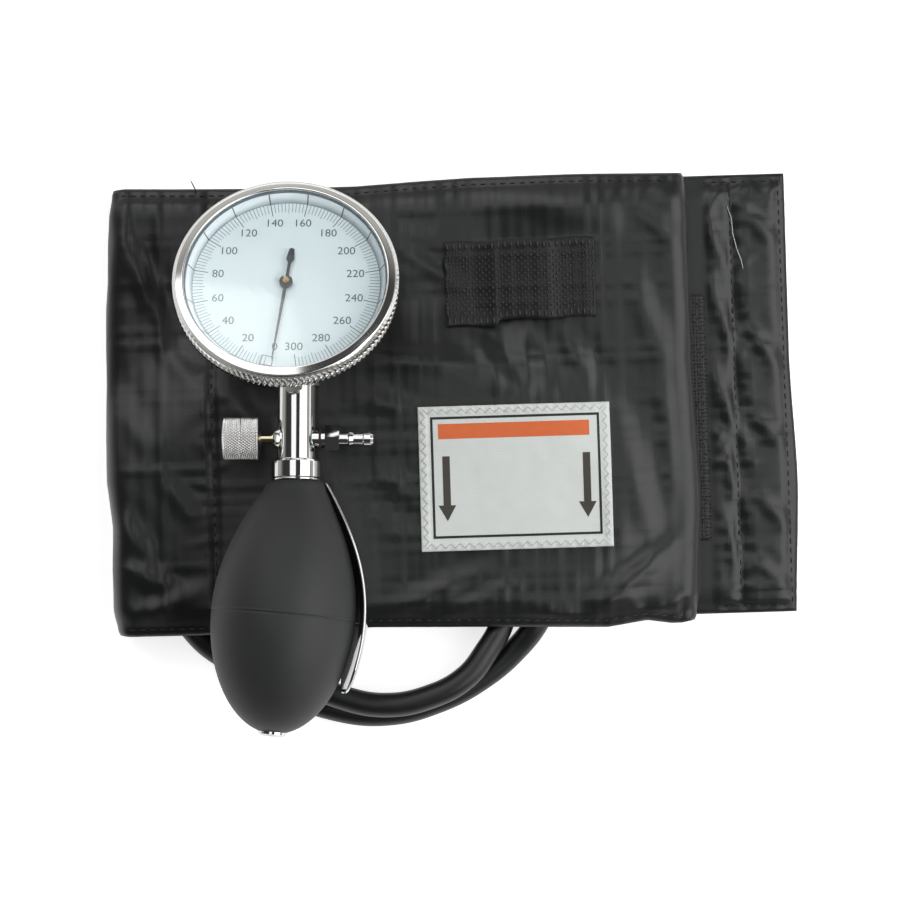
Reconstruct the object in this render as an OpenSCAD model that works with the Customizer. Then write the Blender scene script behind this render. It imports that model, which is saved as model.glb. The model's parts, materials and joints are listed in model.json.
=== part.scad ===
// Palm aneroid sphygmomanometer lying on its folded arm cuff. Millimetres, +Z up from the table.
// Row frame: +Y points from the bulb to the gauge, +X to the open end of the cuff, and the origin is
// on the table under the middle of the cuff. The palm unit has a frame of its own, on the handle's
// axis at the mouth of the bulb, and the gauge a third one, at the middle of the bezel's front.

/* [Gauge] */
// Diameter of the glass that shows inside the bezel
glass_d = 64.2; // [60:0.2:72]
// Width of the knurled bezel round the glass
bezel_w = 3.7; // [3.3:0.1:6]
// Height of the bezel, front to back
bezel_h = 8.4; // [7:0.2:11]
// Number of knurl ridges round the bezel
bezel_ridges = 120; // [60:2:160]
// Thickness of the glass
glass_t = 1.4; // [1:0.1:2]
// Rise of the glass at its middle
glass_rise = 0.9; // [0.4:0.1:1.1]
// Clear height from the glass to the hand
hand_room = 1.8; // [1.8:0.1:4]
// Clear distance from the hand's tip to the edge of the glass
hand_gap = 3.7; // [3:0.1:8]
// Length of the hand's spade end
spade_l = 12.4; // [8:0.1:15]
// Angle of the dial's scale from 0 to 300
scale_angle = 345; // [270:1:345]
// Diameter of the flat back of the case
case_back_d = 44; // [43:0.5:48]
// Wall of the case
case_wall = 1.8; // [1.4:0.1:2.4]

/* [Movement] */
// Gear module of the sector and the pinion
gear_module = 0.25; // [0.24:0.01:0.27]
// Teeth on the pinion
pinion_teeth = 12; // [10:1:14]
// Sector turns this many times less than the hand
gear_ratio = 10; // [10:1:11]
// Radius of the sector's tail pin from its pivot
tail_r = 3; // [2.6:0.1:3.2]
// Height of the rocker's finger above its shaft
finger_l = 4; // [3.8:0.1:4.6]
// Reach of the rocker's arm to the capsule button
rocker_arm = 3; // [2.6:0.1:3.4]
// Diameter of the pressure capsule
capsule_d = 36; // [30:0.5:37]
// Height of the pressure capsule at zero pressure
capsule_h = 3; // [2.6:0.1:4]

/* [Handle] */
// Diameter of the handle tube
handle_d = 12; // [11:0.1:13]
// Diameter of the collar over the bulb's mouth
collar_d = 15.5; // [14.5:0.1:17]
// Height of the collar
collar_h = 5.8; // [5:0.1:8]
// Diameter of the spigot inside the bulb's mouth
spigot_d = 10; // [9:0.1:10.4]
// Height of the valve and the tube connector above the bulb's mouth
side_y = 13.8; // [12.5:0.1:15]
// Bore of the handle
handle_bore = 5; // [4.6:0.1:5.4]
// Angle between the handle's axis and the dial's face
gauge_tilt = 19; // [16:0.5:22]
// Height of the bezel's front middle above the handle's axis
gauge_rise = 9.9; // [9.4:0.1:10.6]
// Distance from the bulb's mouth to the bezel's front middle, along the handle
gauge_reach = 64.4; // [62:0.1:66]
// Sideways offset of the gauge from the handle
gauge_side = 3.2; // [0:0.1:4]

/* [Valve] */
// Diameter of the knurled knob
knob_d = 13.5; // [10:0.1:16]
// Length of the knob
knob_l = 11.7; // [8:0.1:14]
// Number of knurl ridges round the knob
knob_ridges = 44; // [24:2:60]
// Clear length of valve stem between the knob and the handle's boss
stem_show = 4.4; // [2.6:0.1:5]
// Diameter of the valve stem
stem_d = 2.9; // [2.4:0.1:3.2]
// Thread pitch of the valve stem
stem_pitch = 0.5; // [0.4:0.05:0.7]
// Turns of the knob from shut to open
stem_turns = 2; // [1:0.5:3]

/* [Connector] */
// Hexagon of the tube connector, across flats
hex_af = 7.9; // [6:0.1:9]
// Length of the hexagon
hex_l = 4.5; // [3:0.1:6]
// Diameter of the barb's shank
barb_d = 4.3; // [4.2:0.1:5]
// Length of the barb
barb_l = 10.7; // [8:0.1:14]
// Bore of the connector
connector_bore = 2.4; // [1.6:0.1:2.6]

/* [Spoon] */
// Thickness of the spoon's plate
spoon_t = 1; // [0.8:0.1:1.4]
// Angle of the spoon's front edge above the handle's side
spoon_front = 13; // [0:1:20]
// Angle that the spoon's blade spans round the bulb
spoon_span = 56; // [40:1:60]
// How far the spoon swivels to the front
spoon_swivel = 55; // [10:1:60]
// Length of the spoon along the bulb
spoon_l = 65; // [55:0.5:68]

/* [Bulb] */
// Largest diameter of the bulb
bulb_d = 45.4; // [42:0.2:50]
// Length of the bulb
bulb_l = 79.4; // [76:0.2:84]
// Distance of the bulb's belly from its mouth
belly_y = 41.9; // [40:0.2:44]
// Diameter of the bulb at its mouth
mouth_d = 16.6; // [16:0.1:18]
// Wall of the bulb
bulb_wall = 1.8; // [1.4:0.1:2.6]
// Sideways lean of the soft bulb from the handle's axis
bulb_lean = 5; // [3:0.5:6]
// Diameter of the intake valve's flange at the bulb's end
intake_d = 9; // [8.4:0.1:10]

/* [Cuff] */
// Width of the cuff
cuff_w = 145; // [130:1:160]
// Thickness of the empty end of the cuff
web_t = 3; // [2.6:0.1:3.4]
// Thickness of the cuff where it holds the bladder
top_t = 5; // [4.6:0.1:5.6]
// Turn of the folded cuff on the table
cuff_turn = 1.75; // [0:0.25:3]
// Distance of the left fold from the middle
left_fold = 113.4; // [108:0.2:116]
// Distance of the right fold from the middle
right_fold = 78.5; // [76:0.2:82]
// Distance of the open end from the middle
open_end = 111.5; // [108:0.2:116]
// Length of the flap that is folded under at the right
flap_l = 32; // [28:0.5:34]
// Thickness of the hook patch
hook_t = 1.8; // [1.4:0.1:2.4]
// Length of the hook patch along the right fold
hook_l = 81; // [60:0.5:100]
// Length of the webbing loop for the gauge
strap_l = 48.6; // [40:0.2:56]
// Width of the webbing loop
strap_w = 26; // [20:0.2:30]
// Rise of the webbing loop's free middle
strap_rise = 2.6; // [1:0.1:3.2]
// Width of the sewn label
label_l = 61.5; // [50:0.5:70]
// Height of the sewn label
label_w = 46.7; // [40:0.1:52]

/* [Tube] */
// Outside diameter of the rubber tube
tube_d = 8; // [7.6:0.1:8.2]

/* [Hidden] */
$fn = 64;

// Clearances: fixed pieces, running pieces, soft pieces and resting pieces
snug = 0.02;
running = 0.05;
soft = 0.3;
eps = 0.01;

// Heights in the gauge frame, from the bezel's front down
lip_t = 1.2;
gasket_t = 0.8;
hand_t = 0.3;
dial_t = 0.8;
plate_t = 0.8;
sector_t = 0.5;
glass_z = -lip_t - snug;
gasket_z = glass_z - glass_t - snug;
rim_z = gasket_z - gasket_t;
hand_z = glass_z - glass_t - hand_room;
dial_z = hand_z - hand_t - 1.3;
ledge_z = dial_z - dial_t;
front_z = ledge_z - 1;
sector_z = front_z - plate_t - 0.6;
back_z = sector_z - sector_t - 1.8;
pin_z = sector_z - sector_t - 0.9;
rock_z = pin_z - finger_l;

// Plan of the movement in the gauge frame
pinion_r = gear_module * pinion_teeth / 2;
sector_r = pinion_r * gear_ratio;
gear_gap = pinion_r + sector_r;
pin_r = 0.4;
finger_t = 0.5;
rock_y = rocker_arm;
pivot_y = rock_y + finger_t / 2 + pin_r + 2 * running;
pivot_x = sqrt(gear_gap * gear_gap - pivot_y * pivot_y);
sector_swing = scale_angle / gear_ratio;
rocker_swing = 2 * asin(tail_r * sin(sector_swing / 2) / finger_l);
nose_r = 0.4;
button_rise = 2 * rocker_arm * sin(rocker_swing / 2);
button_z = rock_z - button_rise / 2 - nose_r - running;
button_h = 0.6;
capsule_z = button_z - button_h;
floor_z = capsule_z - capsule_h - 1;
case_z = floor_z - case_wall;
arbor_r = 0.5;
shaft_r = 0.45;
ear_t = 1;
ear_left = -4;
finger_x = pivot_x + tail_r;
ear_right = finger_x + 1.6;
post_r = 1.4;
post_ring = capsule_d / 2 + post_r + 0.8;

// Radii in the gauge frame
bezel_r = glass_d / 2 + bezel_w;
hand_l = glass_d / 2 - hand_gap;
thread_r = bezel_r - 1.9;
glass_r = glass_d / 2 + 1;
rim_inner = glass_d / 2 - 0.5;
back_r = case_back_d / 2;

// Handle and valve, in the palm frame
mouth_gap = 0.1;
eye_t = 1.1;
collar_y = eye_t + 2 * mouth_gap;
collar_top = collar_y + collar_h;
handle_end = gauge_reach - 30.5;
boss_r = handle_d / 2 + 1.3;
side_boss = handle_d / 2 + 1.2;
valve_seat_x = -handle_bore / 2;
stem_travel = stem_pitch * stem_turns;
knob_x = -side_boss - stem_show;
bush_r = stem_d / 2 + 0.7;
connector_x = side_boss + 0.8;
flange_l = 1.2;
barb_x = connector_x + flange_l + hex_l;
land_r = barb_d / 2 + 0.3;
land_l = 2;
land_x = barb_x + barb_l - land_l - 0.9;
ball_r = 1.8;
seat_y = -7;
seat_hole = 1.1;
ball_lift = 0.8;
ball_y = seat_y - snug + sqrt(ball_r * ball_r - seat_hole * seat_hole) + running;
stop_r = 0.4;
stop_y = ball_y + ball_r + ball_lift + running + stop_r;

// Bulb outline: a cosine from the belly to the mouth and half an ellipse to the end
bulb_r = bulb_d / 2;
tail_l = bulb_l - belly_y;
mouth_turn = acos(mouth_d / bulb_d);
function bulb_at(t) = t <= belly_y
    ? bulb_r * cos(mouth_turn * (belly_y - t) / belly_y)
    : bulb_r * sqrt(max(0, 1 - pow((t - belly_y) / tail_l, 2)));
function bulb_end(r) = belly_y + tail_l * sqrt(1 - pow(r / bulb_r, 2));

// Cuff heights: the table end lies flat, and the top rides over the coiled tube and the flap
cuff_y = 16.9;
coil_u = -30.6;
coil_w = -51;
coil_a = 65.6;
coil_b = 50.6;
coil_lift = tube_d + soft;
flap_z = web_t + 2 * soft + hook_t;
flap_lift = flap_z;
flap_u = right_fold - flap_l;
function smooth(x) = let (c = max(0, min(1, x))) c * c * (3 - 2 * c);
function coil_rho(u, w) = sqrt(pow((u - coil_u) / coil_a, 2) + pow((w - coil_w) / coil_b, 2));
function coil_share(u, w) = smooth((1.75 - coil_rho(u, w)) / 0.5);
function under_top(u, w) = let (c = coil_share(u, w))
    web_t + soft + c * coil_lift + (1 - c) * flap_lift * smooth((u - flap_u + 40) / 40);

// Pose of the palm unit: the belly rests on the cuff over the coil, the case's back at the far side
unit_x = -49.8;
unit_y = -9;
gauge_low = [
    gauge_reach + back_r * cos(gauge_tilt) + case_z * sin(gauge_tilt),
    gauge_rise - back_r * sin(gauge_tilt) + case_z * cos(gauge_tilt)];
belly_rest = web_t + soft + coil_lift + top_t + soft;
gauge_rest = web_t + soft + top_t + soft;
function unit_z(p) = belly_rest - belly_y * sin(p)
    + sqrt(pow(bulb_r * cos(p), 2) + pow(tail_l * sin(p), 2));
function gauge_clear(p) = unit_z(p) - gauge_low[0] * sin(p) + gauge_low[1] * cos(p) - gauge_rest;
function solve_pitch(lo, hi, n) = let (mid = (lo + hi) / 2) n == 0 ? mid
    : gauge_clear(mid) > 0 ? solve_pitch(mid, hi, n - 1) : solve_pitch(lo, mid, n - 1);
unit_pitch = solve_pitch(0, 15, 24);

// Route of the tube from the bladder port: an inner turn, then an outer turn to the bare end. Each
// point gives the level of the tube's underside: on the table, on the cuff or over its own first turn.
on_cuff = web_t + 0.4;
on_tube = tube_d + 0.5;
PATH = [
    [10, -26, on_cuff], [14, -34, on_cuff], [16.6, -42, on_cuff], [17, -50, on_cuff],
    [15.4, -57, on_cuff + 0.1], [11, -64.4, on_tube - 2.5], [4, -73, on_tube - 0.5], [-8, -79.4, on_tube],
    [-22, -82, on_tube], [-36, -79.6, on_tube], [-50, -73.4, on_tube - 0.3], [-62, -66, on_tube - 2.3],
    [-70, -58.6, on_cuff + 0.1], [-76, -50, on_cuff], [-81, -38, on_cuff], [-82, -26, on_cuff],
    [-77, -14, on_cuff], [-66, -5, on_cuff], [-50, 1, on_cuff], [-32, 5, on_cuff], [-14, 5, on_cuff],
    [4, 2, on_cuff], [19, -6, on_cuff], [29, -19, on_cuff], [32.6, -34, on_cuff], [31, -47, on_cuff],
    [27.4, -55.4, on_cuff], [21, -64, 1], [10, -73.6, 0], [-5, -81.6, 0], [-22, -85.8, 0], [-40, -84, 0],
    [-58, -77, 0], [-74, -68, 0.2], [-84, -59.6, on_cuff], [-90, -50, on_cuff], [-94, -36, on_cuff],
    [-94, -22, on_cuff], [-88, -9, on_cuff], [-77, 3, on_cuff], [-61, 11, on_cuff], [-43, 15, on_cuff],
    [-25, 16, on_cuff], [-8, 15, on_cuff], [4, 13.4, on_cuff]
];
ROUTE = [for (p = PATH) p + [0, 0, tube_d / 2]];

module in_palm() {
    translate([unit_x, unit_y, unit_z(unit_pitch)]) rotate([-unit_pitch, 0, 0]) children();
}

module in_gauge() {
    in_palm() translate([-gauge_side, gauge_reach, gauge_rise]) rotate([-gauge_tilt, 0, 0]) children();
}

module in_cuff() {
    translate([0, cuff_y, 0]) rotate([0, 0, cuff_turn]) children();
}

// Turns +Z to run along the handle, towards the gauge
module up_handle(y = 0) {
    translate([0, y, 0]) rotate([-90, 0, 0]) children();
}

// Turns +Z to run along the leaning bulb, away from the gauge
module down_bulb(t = 0) {
    rotate([0, 0, -bulb_lean]) translate([0, -t, 0]) rotate([90, 0, 0]) children();
}

// Turns +Z to run sideways at the valve's height: side 1 to the tube, -1 to the knob
module sideways(side, x = 0) {
    translate([0, side_y, 0]) rotate([0, side * 90, 0]) translate([0, 0, x]) children();
}

module bar(r, z0, z1) {
    translate([0, 0, z0]) cylinder(r = r, h = z1 - z0);
}

module ring(r0, r1, z0, z1) {
    difference() {
        bar(r1, z0, z1);
        bar(r0, z0 - 1, z1 + 1);
    }
}

module ridged_disc(r, depth, count) {
    polygon([for (i = [0 : 2 * count - 1])
        let (a = 180 * i / count, rr = i % 2 == 0 ? r : r - depth) rr * [cos(a), sin(a)]]);
}

// Closed sheet between two grids of points with the same rows and columns
module sheet(outer, inner) {
    ni = len(outer);
    nj = len(outer[0]);
    function o(i, j) = i * nj + j;
    function n(i, j) = ni * nj + i * nj + j;
    points = concat([for (row = outer) each row], [for (row = inner) each row]);
    faces = concat(
        [for (i = [0 : ni - 2], j = [0 : nj - 2]) each
            [[o(i, j), o(i, j + 1), o(i + 1, j + 1)], [o(i, j), o(i + 1, j + 1), o(i + 1, j)]]],
        [for (i = [0 : ni - 2], j = [0 : nj - 2]) each
            [[n(i, j), n(i + 1, j + 1), n(i, j + 1)], [n(i, j), n(i + 1, j), n(i + 1, j + 1)]]],
        [for (i = [0 : ni - 2]) each [
            [o(i, 0), o(i + 1, 0), n(i + 1, 0)], [o(i, 0), n(i + 1, 0), n(i, 0)],
            [o(i, nj - 1), n(i + 1, nj - 1), o(i + 1, nj - 1)],
            [o(i, nj - 1), n(i, nj - 1), n(i + 1, nj - 1)]]],
        [for (j = [0 : nj - 2]) each [
            [o(0, j), n(0, j + 1), o(0, j + 1)], [o(0, j), n(0, j), n(0, j + 1)],
            [o(ni - 1, j), o(ni - 1, j + 1), n(ni - 1, j + 1)],
            [o(ni - 1, j), n(ni - 1, j + 1), n(ni - 1, j)]]]
    );
    polyhedron(points, faces, convexity = 10);
}

// Sheet on the cuff's top layer, over a rectangle of the cuff frame, between two heights above
// the underside of that layer, with an optional rise between its sewn ends
module on_top(u0, u1, w0, w1, z0, z1, nu, nw, rise = 0, sewn = 0) {
    us = [for (i = [0 : nu]) u0 + (u1 - u0) * i / nu];
    ws = [for (j = [0 : nw]) w0 + (w1 - w0) * j / nw];
    function lift(u) = rise * smooth((u - u0 - sewn) / sewn) * smooth((u1 - sewn - u) / sewn);
    sheet([for (u = us) [for (w = ws) [u, w, seat(u, w) + z1 + lift(u)]]],
          [for (u = us) [for (w = ws) [u, w, seat(u, w) + z0 + lift(u)]]]);
}

// The cuff's strip: centre height, outward normal and thickness at a place along the fold
fold_reach = 6;
function left_u(w) = -left_fold + 1.6 * smooth((w - 20) / 50);
function right_u(w) = right_fold + 1.6 * smooth((40 - abs(w + 30)) / 40);
function end_u(w) = open_end + 1.6 * smooth((45 - abs(w + 30)) / 45);
function top_mid(u, w) = under_top(u, w) + top_t / 2;
LOW_N = 2;
FOLD_N = 5;
TOP_N = 18;
FLAP_N = 1;
ROWS = 13;
function row_w(j) = cuff_w * (j / ROWS - 0.5);
function low_place(k, w) = let (u1 = left_u(w) + fold_reach)
    [end_u(w) + (u1 - end_u(w)) * k / LOW_N, web_t / 2, 0, -1, web_t];
function left_place(k, w) = let (
    u1 = left_u(w) + fold_reach,
    a = -90 + 180 * k / FOLD_N,
    t = web_t + (top_t - web_t) * k / FOLD_N,
    z1 = web_t / 2,
    z2 = top_mid(u1, w))
    [u1 - (fold_reach - t / 2) * cos(a), (z1 + z2) / 2 + (z2 - z1) / 2 * sin(a), -cos(a), sin(a), t];
function top_place(k, w) = let (
    u1 = left_u(w) + fold_reach,
    u2 = right_u(w) - fold_reach,
    u = u1 + (u2 - u1) * k / TOP_N)
    [u, top_mid(u, w), 0, 1, top_t];
function right_place(k, w) = let (
    u2 = right_u(w) - fold_reach,
    a = 90 - 180 * k / FOLD_N,
    t = top_t + (web_t - top_t) * k / FOLD_N,
    z1 = flap_z + web_t / 2,
    z2 = top_mid(u2, w))
    [u2 + (fold_reach - t / 2) * cos(a), (z1 + z2) / 2 + (z2 - z1) / 2 * sin(a), cos(a), sin(a), t];
function flap_place(k, w) = let (u2 = right_u(w) - fold_reach)
    [u2 + (flap_u - u2) * k / FLAP_N, flap_z + web_t / 2, 0, -1, web_t];
function strip(w) = concat(
    [for (k = [0 : LOW_N - 1]) low_place(k, w)],
    [for (k = [0 : FOLD_N - 1]) left_place(k, w)],
    [for (k = [0 : TOP_N - 1]) top_place(k, w)],
    [for (k = [0 : FOLD_N - 1]) right_place(k, w)],
    [for (k = [0 : FLAP_N]) flap_place(k, w)]);
function strip_side(side, ws) = [for (i = [0 : len(strip(0)) - 1])
    [for (w = ws) let (s = strip(w)[i])
        [s[0] + side * s[2] * s[4] / 2, w, s[1] + side * s[3] * s[4] / 2]]];

// Underside of the top layer where the strip's own rows and columns put it
function seat_row(u, j) = let (
    w = row_w(j),
    u1 = left_u(w) + fold_reach,
    step = (right_u(w) - fold_reach - u1) / TOP_N,
    k = max(0, min(TOP_N - 1, floor((u - u1) / step))),
    f = (u - u1) / step - k)
    (1 - f) * under_top(u1 + k * step, w) + f * under_top(u1 + (k + 1) * step, w);
function seat(u, w) = let (
    y = (w / cuff_w + 0.5) * ROWS,
    j = max(0, min(ROWS - 1, floor(y))),
    f = y - j)
    (1 - f) * seat_row(u, j) + f * seat_row(u, j + 1);

// Bladder pocket inside the top layer
pocket_u = [-96, 40];
pocket_w = [-62, 62];
bladder_t = 1.8;
pocket_gap = 0.4;

module cuff() color([0.1, 0.105, 0.1]) in_cuff() {
    ws = [for (j = [0 : ROWS]) row_w(j)];
    difference() {
        sheet(strip_side(1, ws), strip_side(-1, ws));
        on_top(pocket_u[0], pocket_u[1], pocket_w[0], pocket_w[1],
               (top_t - bladder_t) / 2 - pocket_gap, (top_t + bladder_t) / 2 + pocket_gap, 16, 7);
    }
}

module bladder() color([0.2, 0.2, 0.2]) in_cuff()
    on_top(pocket_u[0] + 2, pocket_u[1] - 2, pocket_w[0] + 2, pocket_w[1] - 2,
           (top_t - bladder_t) / 2, (top_t + bladder_t) / 2, 16, 7);

// Moulded port on the underside of the top layer, with a spout that meets the tube's first face
module bladder_port() color([0.08, 0.08, 0.08]) {
    start = ROUTE[0];
    step = ROUTE[1] - ROUTE[0];
    a = atan2(step[1], step[0]);
    translate(start) rotate([0, 0, a]) {
        rotate([0, -90, 0]) bar(tube_d / 2 - 0.4, 0, 10);
        translate([-10, 0, 0]) {
            bar(tube_d / 2, -tube_d / 2, 3);
            bar(9, 3, tube_d / 2);
        }
    }
}

// Hook patch on the flap, showing past the right fold
hook_show = 5;
hook_w = -48;
module hook_patch() color([0.04, 0.04, 0.04]) in_cuff() {
    translate([flap_u + 2, hook_w, web_t + soft])
        cube([right_fold + hook_show - flap_u - 2, hook_l, hook_t]);
}

// Webbing loop, sewn down at both ends with its middle free
strap_t = 1.6;
strap_at = [22.9, 39.3];
module gauge_strap() color([0.05, 0.05, 0.05]) in_cuff() {
    u0 = strap_at[0] - strap_l / 2;
    w0 = strap_at[1] - strap_w / 2;
    on_top(u0, u0 + strap_l, w0, w0 + strap_w, top_t + soft, top_t + soft + strap_t, 20, 4,
           strap_rise, 9);
}

label_t = 0.5;
label_at = [19.8, -25];
module label() color([0.85, 0.86, 0.88]) in_cuff() {
    u0 = label_at[0] - label_l / 2;
    w0 = label_at[1] - label_w / 2;
    on_top(u0, u0 + label_l, w0, w0 + label_w, top_t + soft, top_t + soft + label_t, 14, 9);
}

function unit(v) = v / norm(v);
function heading(i) = unit(
    (i < len(ROUTE) - 1 ? unit(ROUTE[i + 1] - ROUTE[i]) : [0, 0, 0])
    + (i > 0 ? unit(ROUTE[i] - ROUTE[i - 1]) : [0, 0, 0]));
TUBE_SIDES = 10;
function tube_ring(i) = let (d = heading(i), side = unit(cross([0, 0, 1], d)), up = cross(d, side))
    [for (k = [0 : TUBE_SIDES - 1]) let (a = 360 * (k + 0.5) / TUBE_SIDES)
        ROUTE[i] + tube_d / 2 * (cos(a) * side + sin(a) * up)];

module air_tube() color([0.06, 0.06, 0.06]) {
    n = len(ROUTE);
    m = TUBE_SIDES;
    points = [for (i = [0 : n - 1]) each tube_ring(i)];
    walls = [for (i = [0 : n - 2], k = [0 : m - 1]) let (k2 = (k + 1) % m) each
        [[i * m + k, (i + 1) * m + k, (i + 1) * m + k2], [i * m + k, (i + 1) * m + k2, i * m + k2]]];
    start = [[for (k = [0 : m - 1]) k]];
    end = [[for (k = [m - 1 : -1 : 0]) (n - 1) * m + k]];
    polyhedron(points, concat(walls, start, end), convexity = 10);
}

// Handle: plain tube with a spigot for the bulb and a boss on each side for the valve and the tube
spigot_y = -9;
module handle() color("silver") in_palm() difference() {
    union() {
        up_handle() bar(spigot_d / 2, spigot_y, collar_top);
        up_handle() bar(handle_d / 2, collar_top, handle_end);
        sideways(1) bar(3.2, 0, side_boss);
        sideways(-1) rotate_extrude()
            polygon([[0, 0], [4.2, 0], [4.2, handle_d / 2 - 1.2], [2.9, side_boss - 0.5],
                [2.5, side_boss], [0, side_boss]]);
    }
    up_handle() {
        bar(handle_bore / 2, seat_y - eps, side_y + 3);
        bar(handle_bore / 2 + 0.4, spigot_y - 1, seat_y);
        bar(1.5, side_y, handle_end + 1);
    }
    up_handle(stop_y) rotate([0, 90, 0]) bar(stop_r, -spigot_d, spigot_d);
    sideways(-1) bar(bush_r + snug, 1, side_boss + 1);
    sideways(1) bar(2.3, 0, side_boss + 1);
}

module bulb_collar() color("silver") in_palm() up_handle() difference() {
    rotate_extrude() polygon([[0, collar_y], [collar_d / 2, collar_y],
        [collar_d / 2, collar_top - 0.9], [collar_d / 2 - 0.4, collar_top - 0.25],
        [collar_d / 2 - 1, collar_top], [0, collar_top]]);
    bar(spigot_d / 2 + snug, collar_y - 1, collar_top + 1);
}

bulb_steps = 26;
intake_t = bulb_end(intake_d / 2);
intake_body_r = intake_d / 2 - 0.9;
module bulb() color([0.07, 0.07, 0.07]) in_palm() difference() {
    inner_end = bulb_l - 9;
    union() {
        down_bulb() rotate_extrude() polygon(concat(
            [[0, 0.9]],
            [for (i = [0 : bulb_steps]) let (t = 0.9 + (intake_t - 0.9) * i / bulb_steps) [bulb_at(t), t]],
            [[0, intake_t]]));
        rotate([90, 0, 0]) bar(mouth_d / 2, mouth_gap, 4);
    }
    difference() {
        down_bulb() rotate_extrude() polygon(concat(
            [[0, 9]],
            [for (i = [0 : bulb_steps]) let (t = 9 + (inner_end - 9) * i / bulb_steps)
                [max(0.1, bulb_at(t) - bulb_wall), t]],
            [[0, inner_end]]));
        down_bulb() bar(intake_body_r + 2, bulb_l - 15, bulb_l);
    }
    rotate([90, 0, 0]) bar(spigot_d / 2 + snug, -1, 10);
    down_bulb() bar(intake_body_r + snug, bulb_l - 16, bulb_l + 1);
}

// Intake valve in the bulb's end: a ball in a cage lets air in and holds it
intake_ball_r = 1.6;
intake_hole = 1.2;
intake_dip = sqrt(intake_ball_r * intake_ball_r - intake_hole * intake_hole);
cage_t = bulb_l - 6;
cage_l = 2 * intake_dip + ball_lift + 2 * running;
module intake_body() color("silver") in_palm() down_bulb() difference() {
    union() {
        bar(intake_body_r, bulb_l - 14, intake_t + 0.3);
        rotate_extrude() polygon([[0, intake_t + snug], [intake_d / 2, intake_t + snug],
            [intake_d / 2, intake_t + 0.8], [intake_d / 2 - 0.8, intake_t + 1.5], [0, intake_t + 1.5]]);
    }
    bar(intake_hole, bulb_l - 15, bulb_l + 3);
    bar(intake_ball_r + 0.3, cage_t - cage_l, cage_t);
    bar(intake_body_r - 0.7, bulb_l - 15, bulb_l - 12);
}

module intake_ball() color("silver") in_palm() down_bulb(cage_t - intake_dip - running)
    sphere(r = intake_ball_r);

module intake_screen() color("gold") in_palm() down_bulb() difference() {
    bar(intake_body_r - 0.7 - snug, bulb_l - 13, bulb_l - 12 - snug);
    for (a = [0 : 60 : 300]) rotate(a) translate([1.3, 0, 0]) bar(0.35, bulb_l - 14, bulb_l - 11);
}

module outlet_seat() color("gold") in_palm() up_handle()
    ring(seat_hole, handle_bore / 2 + 0.4 - snug, spigot_y, seat_y - snug);

module outlet_ball() color("silver") in_palm() up_handle(ball_y)
    sphere(r = ball_r);

module ball_stop() color("silver") in_palm() up_handle(stop_y)
    rotate([0, 90, 0]) bar(stop_r - snug, -spigot_d / 2, spigot_d / 2);

// Spoon: an eye on the spigot and a blade that follows the bulb at a set clearance
spoon_gap = 0.7;
function spoon_in(t) = bulb_at(t) - t * sin(bulb_lean) * cos(spoon_front + spoon_swivel) + spoon_gap;
spoon_steps = 14;
spoon_eye_r = mouth_d / 2 + 0.4;
module spoon() color("silver") in_palm() rotate([90, 0, 0]) union() {
    ring(spigot_d / 2 + running, spoon_eye_r, -mouth_gap - eye_t, -mouth_gap);
    rotate([0, 0, spoon_front - spoon_span]) rotate_extrude(angle = spoon_span) polygon(concat(
        [[spoon_eye_r - 1, -mouth_gap - eye_t], [spoon_eye_r - 1, -mouth_gap], [spoon_eye_r, -mouth_gap]],
        [for (i = [0 : spoon_steps]) let (t = 1.2 + (spoon_l - 1.2) * i / spoon_steps) [spoon_in(t), t]],
        [[spoon_in(spoon_l) - 1.6, spoon_l + 0.7], [spoon_in(spoon_l) - 1.2, spoon_l + 1.6]],
        [for (i = [spoon_steps : -1 : 0]) let (t = 0.4 + (spoon_l - 0.4) * i / spoon_steps)
            [spoon_in(t) + spoon_t, t]],
        [[spoon_eye_r, -mouth_gap - eye_t]]));
}

module valve_bush() color("gold") in_palm() sideways(-1)
    ring(stem_d / 2 + running, bush_r, 4.2, side_boss + 0.5);

module valve_packing() color([0.1, 0.1, 0.1]) in_palm() sideways(-1)
    ring(stem_d / 2 + running, bush_r, 3.2, 4.2 - snug);

module valve_stem() color("gold") in_palm() sideways(-1) rotate_extrude()
    polygon([[0, -valve_seat_x - stem_travel - 0.2], [0.8, -valve_seat_x], [stem_d / 2, 3.1],
        [stem_d / 2, -knob_x + 8], [0, -knob_x + 8]]);

module valve_knob() color("silver") in_palm() sideways(-1) difference() {
    groove = 0.5;
    half = (knob_l - groove - 1) / 2;
    union() {
        for (z = [-knob_x + 0.3, -knob_x + 0.3 + half + groove])
            translate([0, 0, z]) linear_extrude(half) ridged_disc(knob_d / 2, 0.5, knob_ridges);
        rotate_extrude() polygon([[0, -knob_x], [knob_d / 2 - 0.9, -knob_x],
            [knob_d / 2 - 0.45, -knob_x + 0.4], [knob_d / 2 - 0.45, -knob_x + knob_l - 0.7],
            [knob_d / 2 - 1.4, -knob_x + knob_l - 0.2], [knob_d / 4, -knob_x + knob_l], [0, -knob_x + knob_l]]);
    }
    bar(stem_d / 2 + running, -knob_x - 1, -knob_x + 8 + running);
}

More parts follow.
